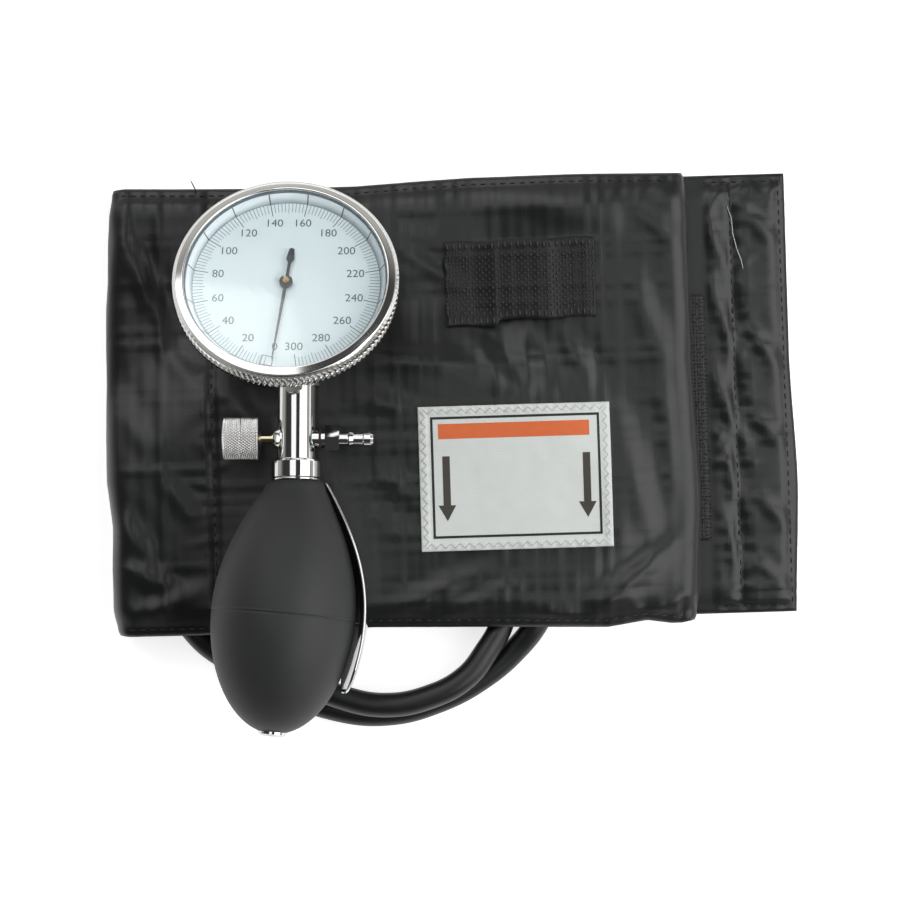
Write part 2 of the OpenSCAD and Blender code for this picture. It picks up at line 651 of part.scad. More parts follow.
module tube_connector() color("silver") in_palm() sideways(1) difference() {
    union() {
        bar(2.3 - snug, 3.2, connector_x);
        bar(3, connector_x, connector_x + flange_l);
        translate([0, 0, connector_x + flange_l])
            cylinder(d = hex_af / cos(30), h = hex_l, $fn = 6);
        bar(barb_d / 2, barb_x, land_x);
        rotate_extrude() polygon([[0, barb_x + 2.6], [barb_d / 2, barb_x + 2.6], [land_r, barb_x + 3.2],
            [barb_d / 2, barb_x + 4.4], [0, barb_x + 4.4]]);
        rotate_extrude() polygon([[0, land_x - 0.4], [barb_d / 2, land_x - 0.4], [land_r, land_x],
            [land_r, land_x + land_l], [barb_d / 2 - 0.35, barb_x + barb_l], [0, barb_x + barb_l]]);
    }
    bar(connector_bore / 2, 3, barb_x + barb_l + 1);
}

module connector_washer() color([0.6, 0.1, 0.1]) in_palm() sideways(1)
    ring(2.3 + snug, 3.1, side_boss + snug, connector_x - snug);

// Case: a turned bowl with a rim for the glass, a ledge for the dial and a boss for the handle
gallery_back = handle_end - 1.9 - gauge_reach;
gallery = [gauge_side, gallery_back * cos(gauge_tilt) + gauge_rise * sin(gauge_tilt),
    gallery_back * sin(gauge_tilt) - gauge_rise * cos(gauge_tilt)];
gallery_r = 0.8;
stem_flange = 4.4;
module case_boss() {
    rotate([gauge_tilt, 0, 0]) translate([gauge_side, -gauge_reach, -gauge_rise]) children();
}
module gauge_case() color("silver") in_gauge() {
    bezel_z = -bezel_h - 0.2;
    difference() {
        union() {
            rotate_extrude() polygon([[0, case_z], [back_r - 2.4, case_z], [back_r, case_z + 0.7],
                [bezel_r - 6, bezel_z - 4.6], [bezel_r - 1.4, bezel_z - 1.2], [bezel_r - 1.1, bezel_z],
                [thread_r - snug, bezel_z], [thread_r - snug, rim_z], [0, rim_z]]);
            case_boss() up_handle() bar(boss_r, handle_end - 3.5, handle_end + 9);
            bar(5, case_z - 1.6, case_z + 1);
        }
        difference() {
            rotate_extrude() polygon([[0, floor_z], [back_r - 0.2, floor_z],
                [bezel_r - 7.6, bezel_z - 4.4], [rim_inner - 1.4, bezel_z - 1.4], [rim_inner - 1.4, ledge_z],
                [rim_inner, ledge_z], [rim_inner, rim_z + 1], [0, rim_z + 1]]);
            difference() {
                air_way(gallery_r + 0.7);
                bar(stem_flange + 0.3, floor_z, 0);
            }
        }
        case_boss() up_handle() {
            bar(handle_d / 2 + snug, handle_end - 8, handle_end + snug);
            bar(1.2, handle_end - 1, handle_end + 1.6);
        }
        bar(1.6 + snug, case_z - 0.4, floor_z + 1);
        air_way(gallery_r);
    }
}

module air_way(r) {
    to = [0, 0, case_z + 0.1];
    run = to - gallery;
    translate(gallery) rotate([0, acos(run[2] / norm(run)), atan2(run[1], run[0])])
        cylinder(r = r, h = norm(run));
}

module bezel() color("silver") in_gauge() difference() {
    union() {
        rotate_extrude() polygon([[0, -lip_t], [glass_d / 2, -lip_t], [glass_d / 2 + 0.5, -0.3],
            [glass_d / 2 + 1.2, 0], [bezel_r - 1, -0.5], [bezel_r - 0.5, -1.1], [bezel_r - 0.8, -1.6],
            [bezel_r - 0.8, -bezel_h], [0, -bezel_h]]);
        for (z = [-bezel_h + 0.3, -bezel_h + 0.5 + (bezel_h - 2) / 2])
            translate([0, 0, z]) linear_extrude((bezel_h - 2.4) / 2)
                ridged_disc(bezel_r, 0.6, bezel_ridges);
    }
    bar(glass_r + snug, -bezel_h - 1, -lip_t);
    bar(thread_r + snug, -bezel_h - 1, rim_z + 0.4);
    bar(glass_d / 2, -lip_t - 1, 1);
}

module glass() color([0.85, 0.9, 0.95, 0.3]) in_gauge() {
    edge = glass_d / 2 - 0.3;
    dome = (edge * edge + glass_rise * glass_rise) / (2 * glass_rise);
    arc = asin(edge / dome);
    cap = [for (i = [0 : 8]) let (a = arc * i / 8) dome * [sin(a), cos(a) - cos(arc)]];
    rotate_extrude() polygon(concat(
        [for (q = cap) q + [0, glass_z]],
        [[glass_r, glass_z], [glass_r, glass_z - glass_t]],
        [for (i = [8 : -1 : 0]) cap[i] + [0, glass_z - glass_t]]));
}

module glass_gasket() color([0.1, 0.1, 0.1]) in_gauge()
    ring(rim_inner, glass_r - 0.2, gasket_z - gasket_t + snug, gasket_z);

module dial() color([0.9, 0.93, 0.95]) in_gauge()
    ring(1.6, rim_inner - snug, ledge_z + snug, dial_z);

// Hand at the zero mark, a slim needle with a spade end
rest_turn = -90 - (360 - scale_angle) / 2;
module hand() color([0.1, 0.1, 0.1]) in_gauge() difference() {
    rotate([0, 0, rest_turn]) union() {
        translate([0, 0, hand_z - hand_t]) linear_extrude(hand_t) {
            polygon([[0, -0.6], [hand_l - 2, -0.2], [hand_l, 0], [hand_l - 2, 0.2], [0, 0.6]]);
            polygon([[0, -0.5], [0, 0.5], [-spade_l + 5.5, 0.5], [-spade_l + 4, 1.3],
                [-spade_l + 0.4, 0.8], [-spade_l, 0], [-spade_l + 0.4, -0.8], [-spade_l + 4, -1.3],
                [-spade_l + 5.5, -0.5]]);
        }
        bar(2.1, hand_z - hand_t - 0.4, hand_z + 0.5);
    }
    bar(arbor_r + snug, dial_z, hand_z + 2);
}

function gear_tooth(r, m, pitch, a) = [
    (r - 1.2 * m) * [cos(a - pitch * 0.34), sin(a - pitch * 0.34)],
    r * [cos(a - pitch * 0.2), sin(a - pitch * 0.2)],
    (r + 0.8 * m) * [cos(a - pitch * 0.09), sin(a - pitch * 0.09)],
    (r + 0.8 * m) * [cos(a + pitch * 0.09), sin(a + pitch * 0.09)],
    r * [cos(a + pitch * 0.2), sin(a + pitch * 0.2)],
    (r - 1.2 * m) * [cos(a + pitch * 0.34), sin(a + pitch * 0.34)]
];

// The pinion and the sector mesh on the line from the hub to the sector's pivot
mesh_turn = atan2(pivot_y, pivot_x);
collet_z = back_z + 0.5;
module pinion_arbor() color("gold") in_gauge() union() {
    bar(arbor_r, back_z - plate_t, hand_z + 1.1);
    bar(0.9, collet_z, collet_z + 0.8);
    bar(1, hand_z + 0.5 + snug, hand_z + 1.1);
    pitch = 360 / pinion_teeth;
    translate([0, 0, sector_z - sector_t - 0.25]) linear_extrude(1)
        polygon([for (i = [0 : pinion_teeth - 1])
            each gear_tooth(pinion_r, gear_module, pitch, mesh_turn + pitch * (i + 0.5))]);
}

// Spiral spring from the collet to a stud on the back plate
spring_t = 0.15;
spring_r0 = 1.05;
spring_r1 = 5.4;
module hairspring() {
    turns = 4;
    steps = 72;
    function at(i, d) = let (k = 1 - i / steps, a = 180 + 360 * turns * k,
        r = spring_r1 - (spring_r1 - spring_r0) * k + d) r * [cos(a), sin(a)];
    color("gold") in_gauge() translate([0, 0, collet_z + 0.15]) linear_extrude(0.5)
        polygon(concat([for (i = [0 : steps]) at(i, 0)], [for (i = [steps : -1 : 0]) at(i, spring_t)]));
}

module sector_gear() color("gold") in_gauge() translate([pivot_x, pivot_y, 0]) {
    pitch = 360 / (pinion_teeth * gear_ratio);
    facing = 180 + mesh_turn;
    first = -ceil(sector_swing / pitch) - 2;
    last = 2;
    root = sector_r - 1.2 * gear_module;
    a0 = facing + (first - 0.5) * pitch;
    a1 = facing + (last + 0.5) * pitch;
    translate([0, 0, sector_z - sector_t]) linear_extrude(sector_t) difference() {
        union() {
            polygon(concat([[0, 0]], [for (i = [first : last]) each
                gear_tooth(sector_r, gear_module, pitch, facing + pitch * i)]));
            circle(1.4);
            rotate(-sector_swing / 2) translate([0, -0.7]) square([tail_r + 0.7, 1.4]);
        }
        polygon(concat(
            [for (i = [0 : 8]) let (a = a0 + 5 + (a1 - a0 - 10) * i / 8) (root - 1.6) * [cos(a), sin(a)]],
            [for (i = [8 : -1 : 0]) let (a = a0 + 9 + (a1 - a0 - 18) * i / 8) 4.5 * [cos(a), sin(a)]]));
    }
    rotate(-sector_swing / 2) translate([tail_r, 0, 0]) bar(pin_r, pin_z - 0.6, sector_z - eps);
    bar(0.7, back_z + 0.1, front_z - plate_t - 0.1);
    bar(pin_r, back_z - plate_t, front_z);
}

module plate_outline(x0, x1) {
    intersection() {
        circle(24.6);
        translate([x0, -10]) square([x1 - x0, 21]);
    }
}

module front_plate() color("gold") in_gauge() difference() {
    translate([0, 0, front_z - plate_t]) linear_extrude(plate_t) plate_outline(-12, 21.4);
    bar(arbor_r + running, front_z - 2, front_z + 1);
    translate([pivot_x, pivot_y, 0]) bar(pin_r + running, front_z - 2, front_z + 1);
}

PILLARS = [[-9, -7], [-9, 8], [18, -7]];
module plate_pillars() color("gold") in_gauge() for (p = PILLARS)
    translate([p[0], p[1], 0]) bar(1, back_z + snug, front_z - plate_t - snug);

module back_plate() color("gold") in_gauge() {
    top = back_z;
    difference() {
        union() {
            translate([0, 0, top - plate_t]) linear_extrude(plate_t) plate_outline(-24.6, 24.6);
            for (x = [ear_left - ear_t, ear_right])
                translate([x, rock_y - 1.5, rock_z - 1.3]) cube([ear_t, 3, top - rock_z + 1.3 - eps]);
            translate([-spring_r1 - spring_t - 0.6, 0, 0]) bar(0.5, top - eps, top + 1.2);
        }
        bar(arbor_r + running, top - 2, top + 1);
        translate([pivot_x, pivot_y, 0]) bar(pin_r + running, top - 2, top + 1);
        translate([finger_x - 1.3, rock_y - 1.7, top - 2]) cube([2.6, 3.4, 3]);
        translate([ear_left - ear_t - 1, rock_y, rock_z]) rotate([0, 90, 0])
            bar(shaft_r + running, 0, ear_right - ear_left + 2 * ear_t + 2);
    }
}

module movement_posts() color("gold") in_gauge() for (a = [180, -22, 22])
    rotate(a) translate([post_ring, 0, 0]) bar(post_r, floor_z + snug, back_z - plate_t - snug);

// Rocker: a shaft with an arm on the capsule's button and a finger against the sector's tail pin
module rocker() color("gold") in_gauge() translate([0, rock_y, rock_z]) rotate([rocker_swing / 2, 0, 0]) {
    translate([ear_left - ear_t - 0.4, 0, 0]) rotate([0, 90, 0])
        bar(shaft_r, 0, ear_right - ear_left + 2 * ear_t + 0.8);
    translate([-0.8, -rocker_arm, -0.1]) cube([1.6, rocker_arm, 0.5]);
    translate([-0.8, -rocker_arm, 0]) rotate([0, 90, 0]) bar(nose_r, 0, 1.6);
    translate([finger_x - 0.7, -finger_t / 2, 0]) cube([1.4, finger_t, finger_l + 0.5]);
}

module capsule_button() color("silver") in_gauge() {
    bar(0.8, button_z - button_h + 0.25, button_z);
    bar(2.2, capsule_z + snug, button_z - button_h + 0.3);
}

// Capsule halves: corrugated diaphragms that meet in a flat rim
capsule_skin = 0.3;
capsule_rim = 1.4;
module diaphragm(side) {
    r = capsule_d / 2;
    flat = r - 9;
    waves = 3;
    steps = 24;
    h = capsule_h / 2;
    function height(i) = let (x = i / steps)
        h * x - capsule_skin * x + capsule_skin / 2 + 0.22 * sin(360 * waves * x);
    function radius(i) = r - capsule_rim - (r - capsule_rim - flat) * i / steps;
    profile = concat([[r, snug / 2]],
        [for (i = [0 : steps]) [radius(i), height(i) - capsule_skin / 2 + snug / 2]],
        [[3.2, h - capsule_skin], [3.2, h]],
        [for (i = [steps : -1 : 0]) [radius(i), height(i) + capsule_skin / 2]], [[r, capsule_skin]]);
    mirror([0, 0, side < 0 ? 1 : 0]) rotate_extrude() polygon(profile);
}
module capsule_upper() color("gold") in_gauge() translate([0, 0, capsule_z - capsule_h / 2]) {
    diaphragm(1);
    bar(3.3, capsule_h / 2 - capsule_skin, capsule_h / 2);
}
module capsule_lower() color("gold") in_gauge() translate([0, 0, capsule_z - capsule_h / 2])
    diaphragm(-1);

module capsule_stem() color("gold") in_gauge() difference() {
    union() {
        bar(1.6, case_z - 0.4 + snug, floor_z + 0.2);
        bar(3.2 - snug, floor_z + snug, capsule_z - capsule_h + capsule_skin);
        bar(stem_flange, floor_z + snug, capsule_z - capsule_h - snug);
    }
    bar(0.7, case_z - 2, floor_z + 3);
}

cuff();
bladder();
bladder_port();
gauge_strap();
label();
hook_patch();
air_tube();
handle();
bulb_collar();
bulb();
intake_body();
intake_ball();
intake_screen();
outlet_seat();
outlet_ball();
ball_stop();
spoon();
valve_bush();
valve_packing();
valve_stem();
valve_knob();
tube_connector();
connector_washer();
gauge_case();
bezel();
glass();
glass_gasket();
dial();
hand();
pinion_arbor();
hairspring();
sector_gear();
front_plate();
back_plate();
plate_pillars();
movement_posts();
rocker();
capsule_button();
capsule_upper();
capsule_lower();
capsule_stem();
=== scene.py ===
"""Looks of a palm aneroid blood pressure gauge that lies on its folded arm cuff.

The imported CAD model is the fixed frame. Each class below holds the sizes of one sub-assembly in
millimetres, builds its meshes in the frame of the cuff, the palm unit or the gauge, and dresses
them.
"""

import json
import logging
import math
import random
from dataclasses import dataclass, field
from enum import Enum
from typing import Callable, Iterable, Optional, Sequence

import bmesh
import bpy
import numpy as np
from mathutils import Matrix, Vector, noise

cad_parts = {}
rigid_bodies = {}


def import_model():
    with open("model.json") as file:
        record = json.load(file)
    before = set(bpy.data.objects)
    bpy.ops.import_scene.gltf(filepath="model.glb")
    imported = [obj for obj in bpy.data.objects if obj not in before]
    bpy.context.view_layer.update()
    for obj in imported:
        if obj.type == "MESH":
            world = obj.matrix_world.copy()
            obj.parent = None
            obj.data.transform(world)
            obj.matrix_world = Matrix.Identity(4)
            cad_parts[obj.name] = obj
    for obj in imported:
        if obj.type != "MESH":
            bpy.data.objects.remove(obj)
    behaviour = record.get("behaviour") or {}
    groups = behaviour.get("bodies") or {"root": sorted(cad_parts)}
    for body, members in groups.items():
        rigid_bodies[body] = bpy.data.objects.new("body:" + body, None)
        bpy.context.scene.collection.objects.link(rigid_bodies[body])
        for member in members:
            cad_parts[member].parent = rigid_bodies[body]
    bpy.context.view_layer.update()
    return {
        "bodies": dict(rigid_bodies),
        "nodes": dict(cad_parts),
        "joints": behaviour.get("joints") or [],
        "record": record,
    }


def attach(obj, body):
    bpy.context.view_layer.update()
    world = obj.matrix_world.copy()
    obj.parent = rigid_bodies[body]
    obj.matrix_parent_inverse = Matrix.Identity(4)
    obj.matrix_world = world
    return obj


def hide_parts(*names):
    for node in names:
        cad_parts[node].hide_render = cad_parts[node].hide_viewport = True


LOG = logging.getLogger("gauge_and_cuff")
MM = 0.001
CUFF_TURN = math.radians(1.75)
CUFF_CENTRE = (0.0, 16.9, 0.0)
SHEEN_ROUGHNESS = 0.4
COAT_ROUGHNESS = 0.1
THREAD_WOBBLE = 0.25
SLUB_STRETCH = 0.05
SLUB_SHARE = 1.4
TOOL_MARK_STRETCH = 0.04
WHITE = (1.0, 1.0, 1.0, 1.0)
INK_LIFT = 0.03

Point = Sequence[float]
Row = tuple[float, ...]
Face = tuple[int, ...]


# ---------------------------------------------------------------- shapes


@dataclass
class Shape:
    """Points in millimetres in one of the object's frames, and the faces between them."""

    points: list[Point] = field(default_factory=list)
    faces: list[Face] = field(default_factory=list)

    def add(self, other: "Shape") -> "Shape":
        """Takes in another shape and returns itself.

        Args:
            other: The shape that is taken in.

        Returns:
            This shape.
        """
        start = len(self.points)
        self.points.extend(other.points)
        self.faces.extend(tuple(i + start for i in f) for f in other.faces)
        return self

    def moved(self, matrix: Matrix) -> "Shape":
        """Returns a copy with every point put through a matrix."""
        return Shape([tuple(matrix @ Vector(p)) for p in self.points], list(self.faces))


def grid_faces(rows: int, columns: int, wrap: bool = False, start: int = 0) -> list[Face]:
    """Faces of a grid of points that is stored row by row.

    Args:
        rows: Number of rows of points.
        columns: Number of points in a row.
        wrap: Whether each row closes on itself.
        start: Index of the grid's first point.

    Returns:
        One four-sided face per cell.
    """
    last = columns if wrap else columns - 1
    return [
        (
            start + i * columns + j,
            start + i * columns + (j + 1) % columns,
            start + (i + 1) * columns + (j + 1) % columns,
            start + (i + 1) * columns + j,
        )
        for i in range(rows - 1)
        for j in range(last)
    ]


def lathe(
    profile: Sequence[tuple[float, float]],
    steps: int,
    carve: Optional[Callable[[float, float, float], float]] = None,
    closed: bool = False,
) -> Shape:
    """Turns a profile round the Z axis.

    Args:
        profile: Radius and height of each point of the profile.
        steps: Number of points round the axis.
        carve: Gives the change of radius at an angle, radius and height.
        closed: Whether the profile's last point joins its first one.

    Returns:
        The turned shape.
    """
    shape = Shape()
    for r, z in profile:
        for k in range(steps):
            a = math.tau * k / steps
            reach = r + (carve(a, r, z) if carve else 0.0)
            shape.points.append((reach * math.cos(a), reach * math.sin(a), z))
    shape.faces = grid_faces(len(profile), steps, wrap=True)
    if closed:
        base = (len(profile) - 1) * steps
        for k in range(steps):
            after = (k + 1) % steps
            shape.faces.append((base + k, base + after, after, k))
    return shape


def rod(path: Sequence[Point], radius: float, sides: int = 6) -> Shape:
    """A thin round rod with closed ends along a path, such as a thread.

    Args:
        path: Points of its centre line.
        radius: Radius of the rod.
        sides: Number of points round it.

    Returns:
        The rod's shape.
    """
    shape = Shape()
    points = [Vector(p) for p in path]
    for i, p in enumerate(points):
        run = (points[min(i + 1, len(points) - 1)] - points[max(i - 1, 0)]).normalized()
        side = run.cross(Vector((0.13, 0.21, 1.0))).normalized()
        up = side.cross(run)
        slim = 0.55 if i in (0, len(points) - 1) else 1.0
        for k in range(sides):
            a = math.tau * k / sides
            shape.points.append(tuple(p + radius * slim * (side * math.cos(a) + up * math.sin(a))))
    shape.faces = tube_faces(len(points), sides)
    return shape


def slab(top: np.ndarray, bottom: np.ndarray) -> Shape:
    """A closed sheet between two grids of points of one size.

    Args:
        top: Points of one side, rows by columns by three.
        bottom: Points of the other side.

    Returns:
        Both sides and the four edges between them.
    """
    rows, columns = top.shape[:2]
    size = rows * columns
    shape = Shape(points_of(top) + points_of(bottom), grid_faces(rows, columns))
    shape.faces += [tuple(reversed(f)) for f in grid_faces(rows, columns, start=size)]
    rim = list(range(columns))
    rim += [i * columns + columns - 1 for i in range(1, rows)]
    rim += [(rows - 1) * columns + j for j in range(columns - 2, -1, -1)]
    rim += [i * columns for i in range(rows - 2, 0, -1)]
    for a, b in zip(rim, rim[1:] + rim[:1]):
        shape.faces.append((b, a, a + size, b + size))
    return shape


def tube_faces(rows: int, columns: int) -> list[Face]:
    """Faces of a closed tube of rings, with a face over each end."""
    ends = tuple(reversed(range(columns))), tuple(range((rows - 1) * columns, rows * columns))
    return [*grid_faces(rows, columns, wrap=True), *ends]


def smooth(x: np.ndarray) -> np.ndarray:
    """Eases a share from 0 to 1, and holds it at both ends."""
    c = np.clip(x, 0.0, 1.0)
    return c * c * (3 - 2 * c)


def hump(x: np.ndarray, width: float) -> np.ndarray:
    """A bell of height 1 and of a width, round 0."""
    return np.exp(-((x / width) ** 2))


def places(x: Row, y: Row, columns: int, rows: int) -> tuple[np.ndarray, np.ndarray]:
    """Places of an even grid between two ends in each direction."""
    return tuple(np.meshgrid(np.linspace(*x, columns), np.linspace(*y, rows), indexing="ij"))


def plate(x: np.ndarray, y: np.ndarray, low: np.ndarray, high: np.ndarray) -> Shape:
    """A sheet over a grid of places, from one height to another at each place."""
    return slab(np.stack([x, y, high], -1), np.stack([x, y, low], -1))


def points_of(grid: np.ndarray) -> list[Point]:
    """The points of a grid as a plain list."""
    return [tuple(p) for p in grid.reshape(-1, 3)]


def show(thing: bpy.types.Object) -> bpy.types.Object:
    """Puts an object in the scene and returns it."""
    bpy.context.scene.collection.objects.link(thing)
    return thing


# ---------------------------------------------------------------- finishes


def linear(code: str) -> tuple[float, float, float, float]:
    """Turns an sRGB hex colour into Blender's linear colour.

    Args:
        code: Six hex digits.

    Returns:
        Red, green, blue and an alpha of 1.
    """
    parts = [int(code[i : i + 2], 16) / 255 for i in (0, 2, 4)]
    red, green, blue = (c / 12.92 if c <= 0.04045 else ((c + 0.055) / 1.055) ** 2.4 for c in parts)
    return red, green, blue, 1.0


def add_node(
    tree: bpy.types.NodeTree, kind: str, feeds: Optional[dict] = None, **settings: object
) -> bpy.types.Node:
    """Adds a node with its settings, values and links.

    Args:
        tree: The tree that gets the node.
        kind: Blender's name of the node type, without ShaderNode.
        feeds: A value or an output socket for each input that is named.
        **settings: Properties of the node.

    Returns:
        The new node.
    """
    made = tree.nodes.new("ShaderNode" + kind)
    for name, value in settings.items():
        setattr(made, name, value)
    for name, value in (feeds or {}).items():
        if isinstance(value, bpy.types.NodeSocket):
            tree.links.new(value, made.inputs[name])
        else:
            made.inputs[name].default_value = value
    return made


def fresh_tree(owner: bpy.types.ID) -> bpy.types.NodeTree:
    """Switches a material or a world to nodes, and returns its emptied tree.

    Args:
        owner: The material or world.

    Returns:
        Its tree, without any node.
    """
    owner.use_nodes = True
    owner.node_tree.nodes.clear()
    return owner.node_tree


def material_of(name: str, build: Callable[[bpy.types.NodeTree], None]) -> bpy.types.Material:
    """Makes a material once.

    Args:
        name: Its name.
        build: Adds its nodes to an empty tree.

    Returns:
        The material, the same one at each call.
    """
    known = bpy.data.materials.get(name)
    if known is None:
        known = bpy.data.materials.new(name)
        build(fresh_tree(known))
    return known


class Relief(Enum):
    """What the fine surface of a finish is made of."""

    GRAIN = "grain"
    WEAVE = "weave"
    BRUSHED = "brushed"


@dataclass(frozen=True)
class Finish:
    """A real material and how its surface was made.

    The two colours are the ends of its own variation, in patches of a size in millimetres, and the
    relief has a pitch and a depth in millimetres.
    """

    name: str
    colour: str
    shade: str
    roughness: float
    spread: float = 0.05
    patch: float = 20.0
    pitch: float = 0.6
    depth: float = 0.02
    relief: Relief = Relief.GRAIN
    metallic: float = 0.0
    sheen: float = 0.0
    coat: float = 0.0

    def material(self) -> bpy.types.Material:
        """Returns the Blender material of this finish, made once."""
        return material_of(self.name, self._nodes)

    def _nodes(self, tree: bpy.types.NodeTree) -> None:
        """Adds the finish's nodes to an empty tree.

        Args:
            tree: The empty tree.
        """
        place = add_node(tree, "TexCoord").outputs["Object"]
        turned = add_node(
            tree, "Mapping", {"Vector": place, "Rotation": (0.0, 0.0, -CUFF_TURN)}
        ).outputs["Vector"]
        patches = add_node(
            tree, "TexNoise", {"Vector": place, "Scale": 1 / (self.patch * MM), "Detail": 4.0}
        ).outputs["Fac"]
        colour = add_node(
            tree,
            "MixRGB",
            {"Fac": patches, "Color1": linear(self.shade), "Color2": linear(self.colour)},
        ).outputs["Color"]
        rough = add_node(
            tree,
            "MapRange",
            {
                "Value": patches,
                "To Min": max(self.roughness - self.spread, 0.02),
                "To Max": self.roughness + self.spread,
            },
        ).outputs["Result"]
        normal = add_node(
            tree,
            "Bump",
            {"Height": self._relief(tree, turned), "Distance": self.depth * MM, "Strength": 1.0},
        ).outputs["Normal"]
        shader = add_node(
            tree,
            "BsdfPrincipled",
            {
                "Base Color": colour,
                "Roughness": rough,
                "Normal": normal,
                "Metallic": self.metallic,
                "Sheen Weight": self.sheen,
                "Sheen Roughness": SHEEN_ROUGHNESS,
                "Coat Weight": self.coat,
                "Coat Roughness": COAT_ROUGHNESS,
            },
        )
        add_node(tree, "OutputMaterial", {"Surface": shader.outputs["BSDF"]})

    def _relief(
        self, tree: bpy.types.NodeTree, place: bpy.types.NodeSocket
    ) -> bpy.types.NodeSocket:
        """Builds the nodes of the relief's height.

        Args:
            tree: The material's tree.
            place: The point on the piece, in metres along the cuff's own directions.

        Returns:
            The socket that gives the height.
        """
        pitch = self.pitch * MM
        if self.relief is Relief.GRAIN:
            return add_node(
                tree, "TexNoise", {"Vector": place, "Scale": 1 / pitch, "Detail": 3.0}
            ).outputs["Fac"]
        if self.relief is Relief.BRUSHED:
            drawn = add_node(tree, "Mapping", {"Vector": place, "Scale": (1, TOOL_MARK_STRETCH, 1)})
            return add_node(
                tree, "TexNoise", {"Vector": drawn.outputs["Vector"], "Scale": 1 / pitch}
            ).outputs["Fac"]
        period = math.tau / 20 / pitch
        threads = [
            add_node(
                tree,
                "TexWave",
                {"Vector": place, "Scale": period, "Distortion": THREAD_WOBBLE, "Detail": 0.0},
                bands_direction=direction,
            ).outputs["Fac"]
            for direction in ("X", "Y")
        ]
        weave = add_node(
            tree, "Math", {0: threads[0], 1: threads[1]}, operation="MULTIPLY"
        ).outputs[0]
        drawn = add_node(tree, "Mapping", {"Vector": place, "Scale": (SLUB_STRETCH, 1, 1)})
        slubs = add_node(
            tree, "TexNoise", {"Vector": drawn.outputs["Vector"], "Scale": 1 / pitch}
        ).outputs["Fac"]
        return add_node(
            tree, "Math", {0: slubs, 1: SLUB_SHARE, 2: weave}, operation="MULTIPLY_ADD"
        ).outputs[0]


# Coated nylon taffeta: fine plain weave with a soft gloss on its folds. Its threads are 0.2 mm
# apart, too fine to show, so the weave is drawn at 1 mm.
NYLON = Finish(
    "coated_nylon", "181B1A", "111413", 0.37, 0.04, 26.0, 1.05, 0.007, Relief.WEAVE, sheen=0.12
)
# Polypropylene webbing: coarse spun yarn, a little shiny where it turns over.
WEBBING = Finish("polypropylene_webbing", "101110", "0A0B0A", 0.6, 0.08, 2.2, 0.35, 0.05, sheen=0.1)
# Polypropylene yarn where it floats on the webbing: smooth, and coloured lighter than the webbing
# of the same yarn, as a painted glint on each float.
GLINT_PAINTED_YARN = Finish("polypropylene_yarn_painted_glint", "30322E", "222421", 0.3, 0.06, 2.2, 0.3, 0.03)
# Nylon hook tape: stiff bristles that hold little light.
HOOK_TAPE = Finish("nylon_hook_tape", "1A1B1B", "0E0F0F", 0.5, 0.1, 3.0, 0.9, 0.06, Relief.WEAVE)
# Polyester sewing thread, twisted, with a faint gloss.
DARK_THREAD = Finish("black_polyester_thread", "1B1C1C", "101111", 0.45, 0.08, 1.5, 0.3, 0.04)
PALE_THREAD = Finish("white_polyester_thread", "C9CCCC", "A9ADAD", 0.5, 0.08, 1.5, 0.3, 0.04)
# Woven polyester satin: silvery, with a soft shine along its floats.
SATIN = Finish(
    "polyester_satin", "DFE3E0", "D2D7D3", 0.36, 0.05, 6.0, 0.9, 0.03, Relief.WEAVE, sheen=0.4
)
# Printing inks on the satin and on the dial: thin and flat.
BLACK_INK = Finish("black_ink", "1C1D1E", "161718", 0.6, 0.05, 3.0, 0.5, 0.005)
GREY_INK = Finish("dark_grey_ink", "454039", "3A3630", 0.6, 0.05, 3.0, 0.5, 0.005)
ORANGE_INK = Finish("orange_ink", "E0713C", "D8642F", 0.6, 0.05, 3.0, 0.5, 0.005)
TICK_INK = Finish("tick_ink", "929DA1", "858F93", 0.6, 0.05, 3.0, 0.5, 0.003)
FIGURE_INK = Finish("figure_ink", "5F686B", "566063", 0.6, 0.05, 3.0, 0.5, 0.003)
# Natural rubber tube, dipped: smooth with a broad soft highlight.
TUBE_RUBBER = Finish("dipped_rubber_tube", "131515", "0D0F0F", 0.42, 0.06, 14.0, 1.2, 0.02)
# Moulded rubber bulb: dead matt from a blasted mould, with a dusty bloom that lifts its grey.
BULB_RUBBER = Finish(
    "moulded_bulb_rubber", "292C2B", "212322", 0.58, 0.05, 9.0, 0.5, 0.02, sheen=0.05
)
# Latex bladder: dull, slightly translucent grey rubber.
BLADDER_RUBBER = Finish("latex_bladder", "3A3A3A", "303030", 0.55, 0.08, 12.0, 0.8, 0.03)
# Nickel and chrome plate on polished brass: a cool mirror with a trace of handling haze.
CHROME = Finish("polished_chrome", "D5D6D5", "C9CAC9", 0.07, 0.03, 9.0, 2.5, 0.002, metallic=1.0)
# The same plate over a cut knurl: duller, as its small faces scatter light.
KNURLED_CHROME = Finish(
    "knurled_chrome", "D0D0CE", "C2C2C0", 0.19, 0.05, 2.0, 0.5, 0.01, metallic=1.0
)
# Turned free-cutting brass: warm, with fine tool marks.
BRASS = Finish(
    "turned_brass", "D3B270", "C09C58", 0.24, 0.06, 4.0, 0.2, 0.004, Relief.BRUSHED, metallic=1.0
)
# Nickel-plated brass of the valve's stem: silvery, with a warm cast where the plate is worn.
NICKEL = Finish(
    "worn_nickel_plate", "CFCAB4", "BFB48E", 0.14, 0.05, 3.0, 0.3, 0.003, Relief.BRUSHED,
    metallic=1.0,
)
# Ground steel: neutral grey with a fine grain.
STEEL = Finish(
    "ground_steel", "B9BABB", "A9AAAB", 0.22, 0.06, 3.0, 0.2, 0.004, Relief.BRUSHED, metallic=1.0
)
# Rolled phosphor bronze: reddish, springy sheet of the capsule.
BRONZE = Finish(
    "rolled_bronze", "C08A57", "A87546", 0.28, 0.06, 6.0, 0.4, 0.004, Relief.BRUSHED, metallic=1.0
)
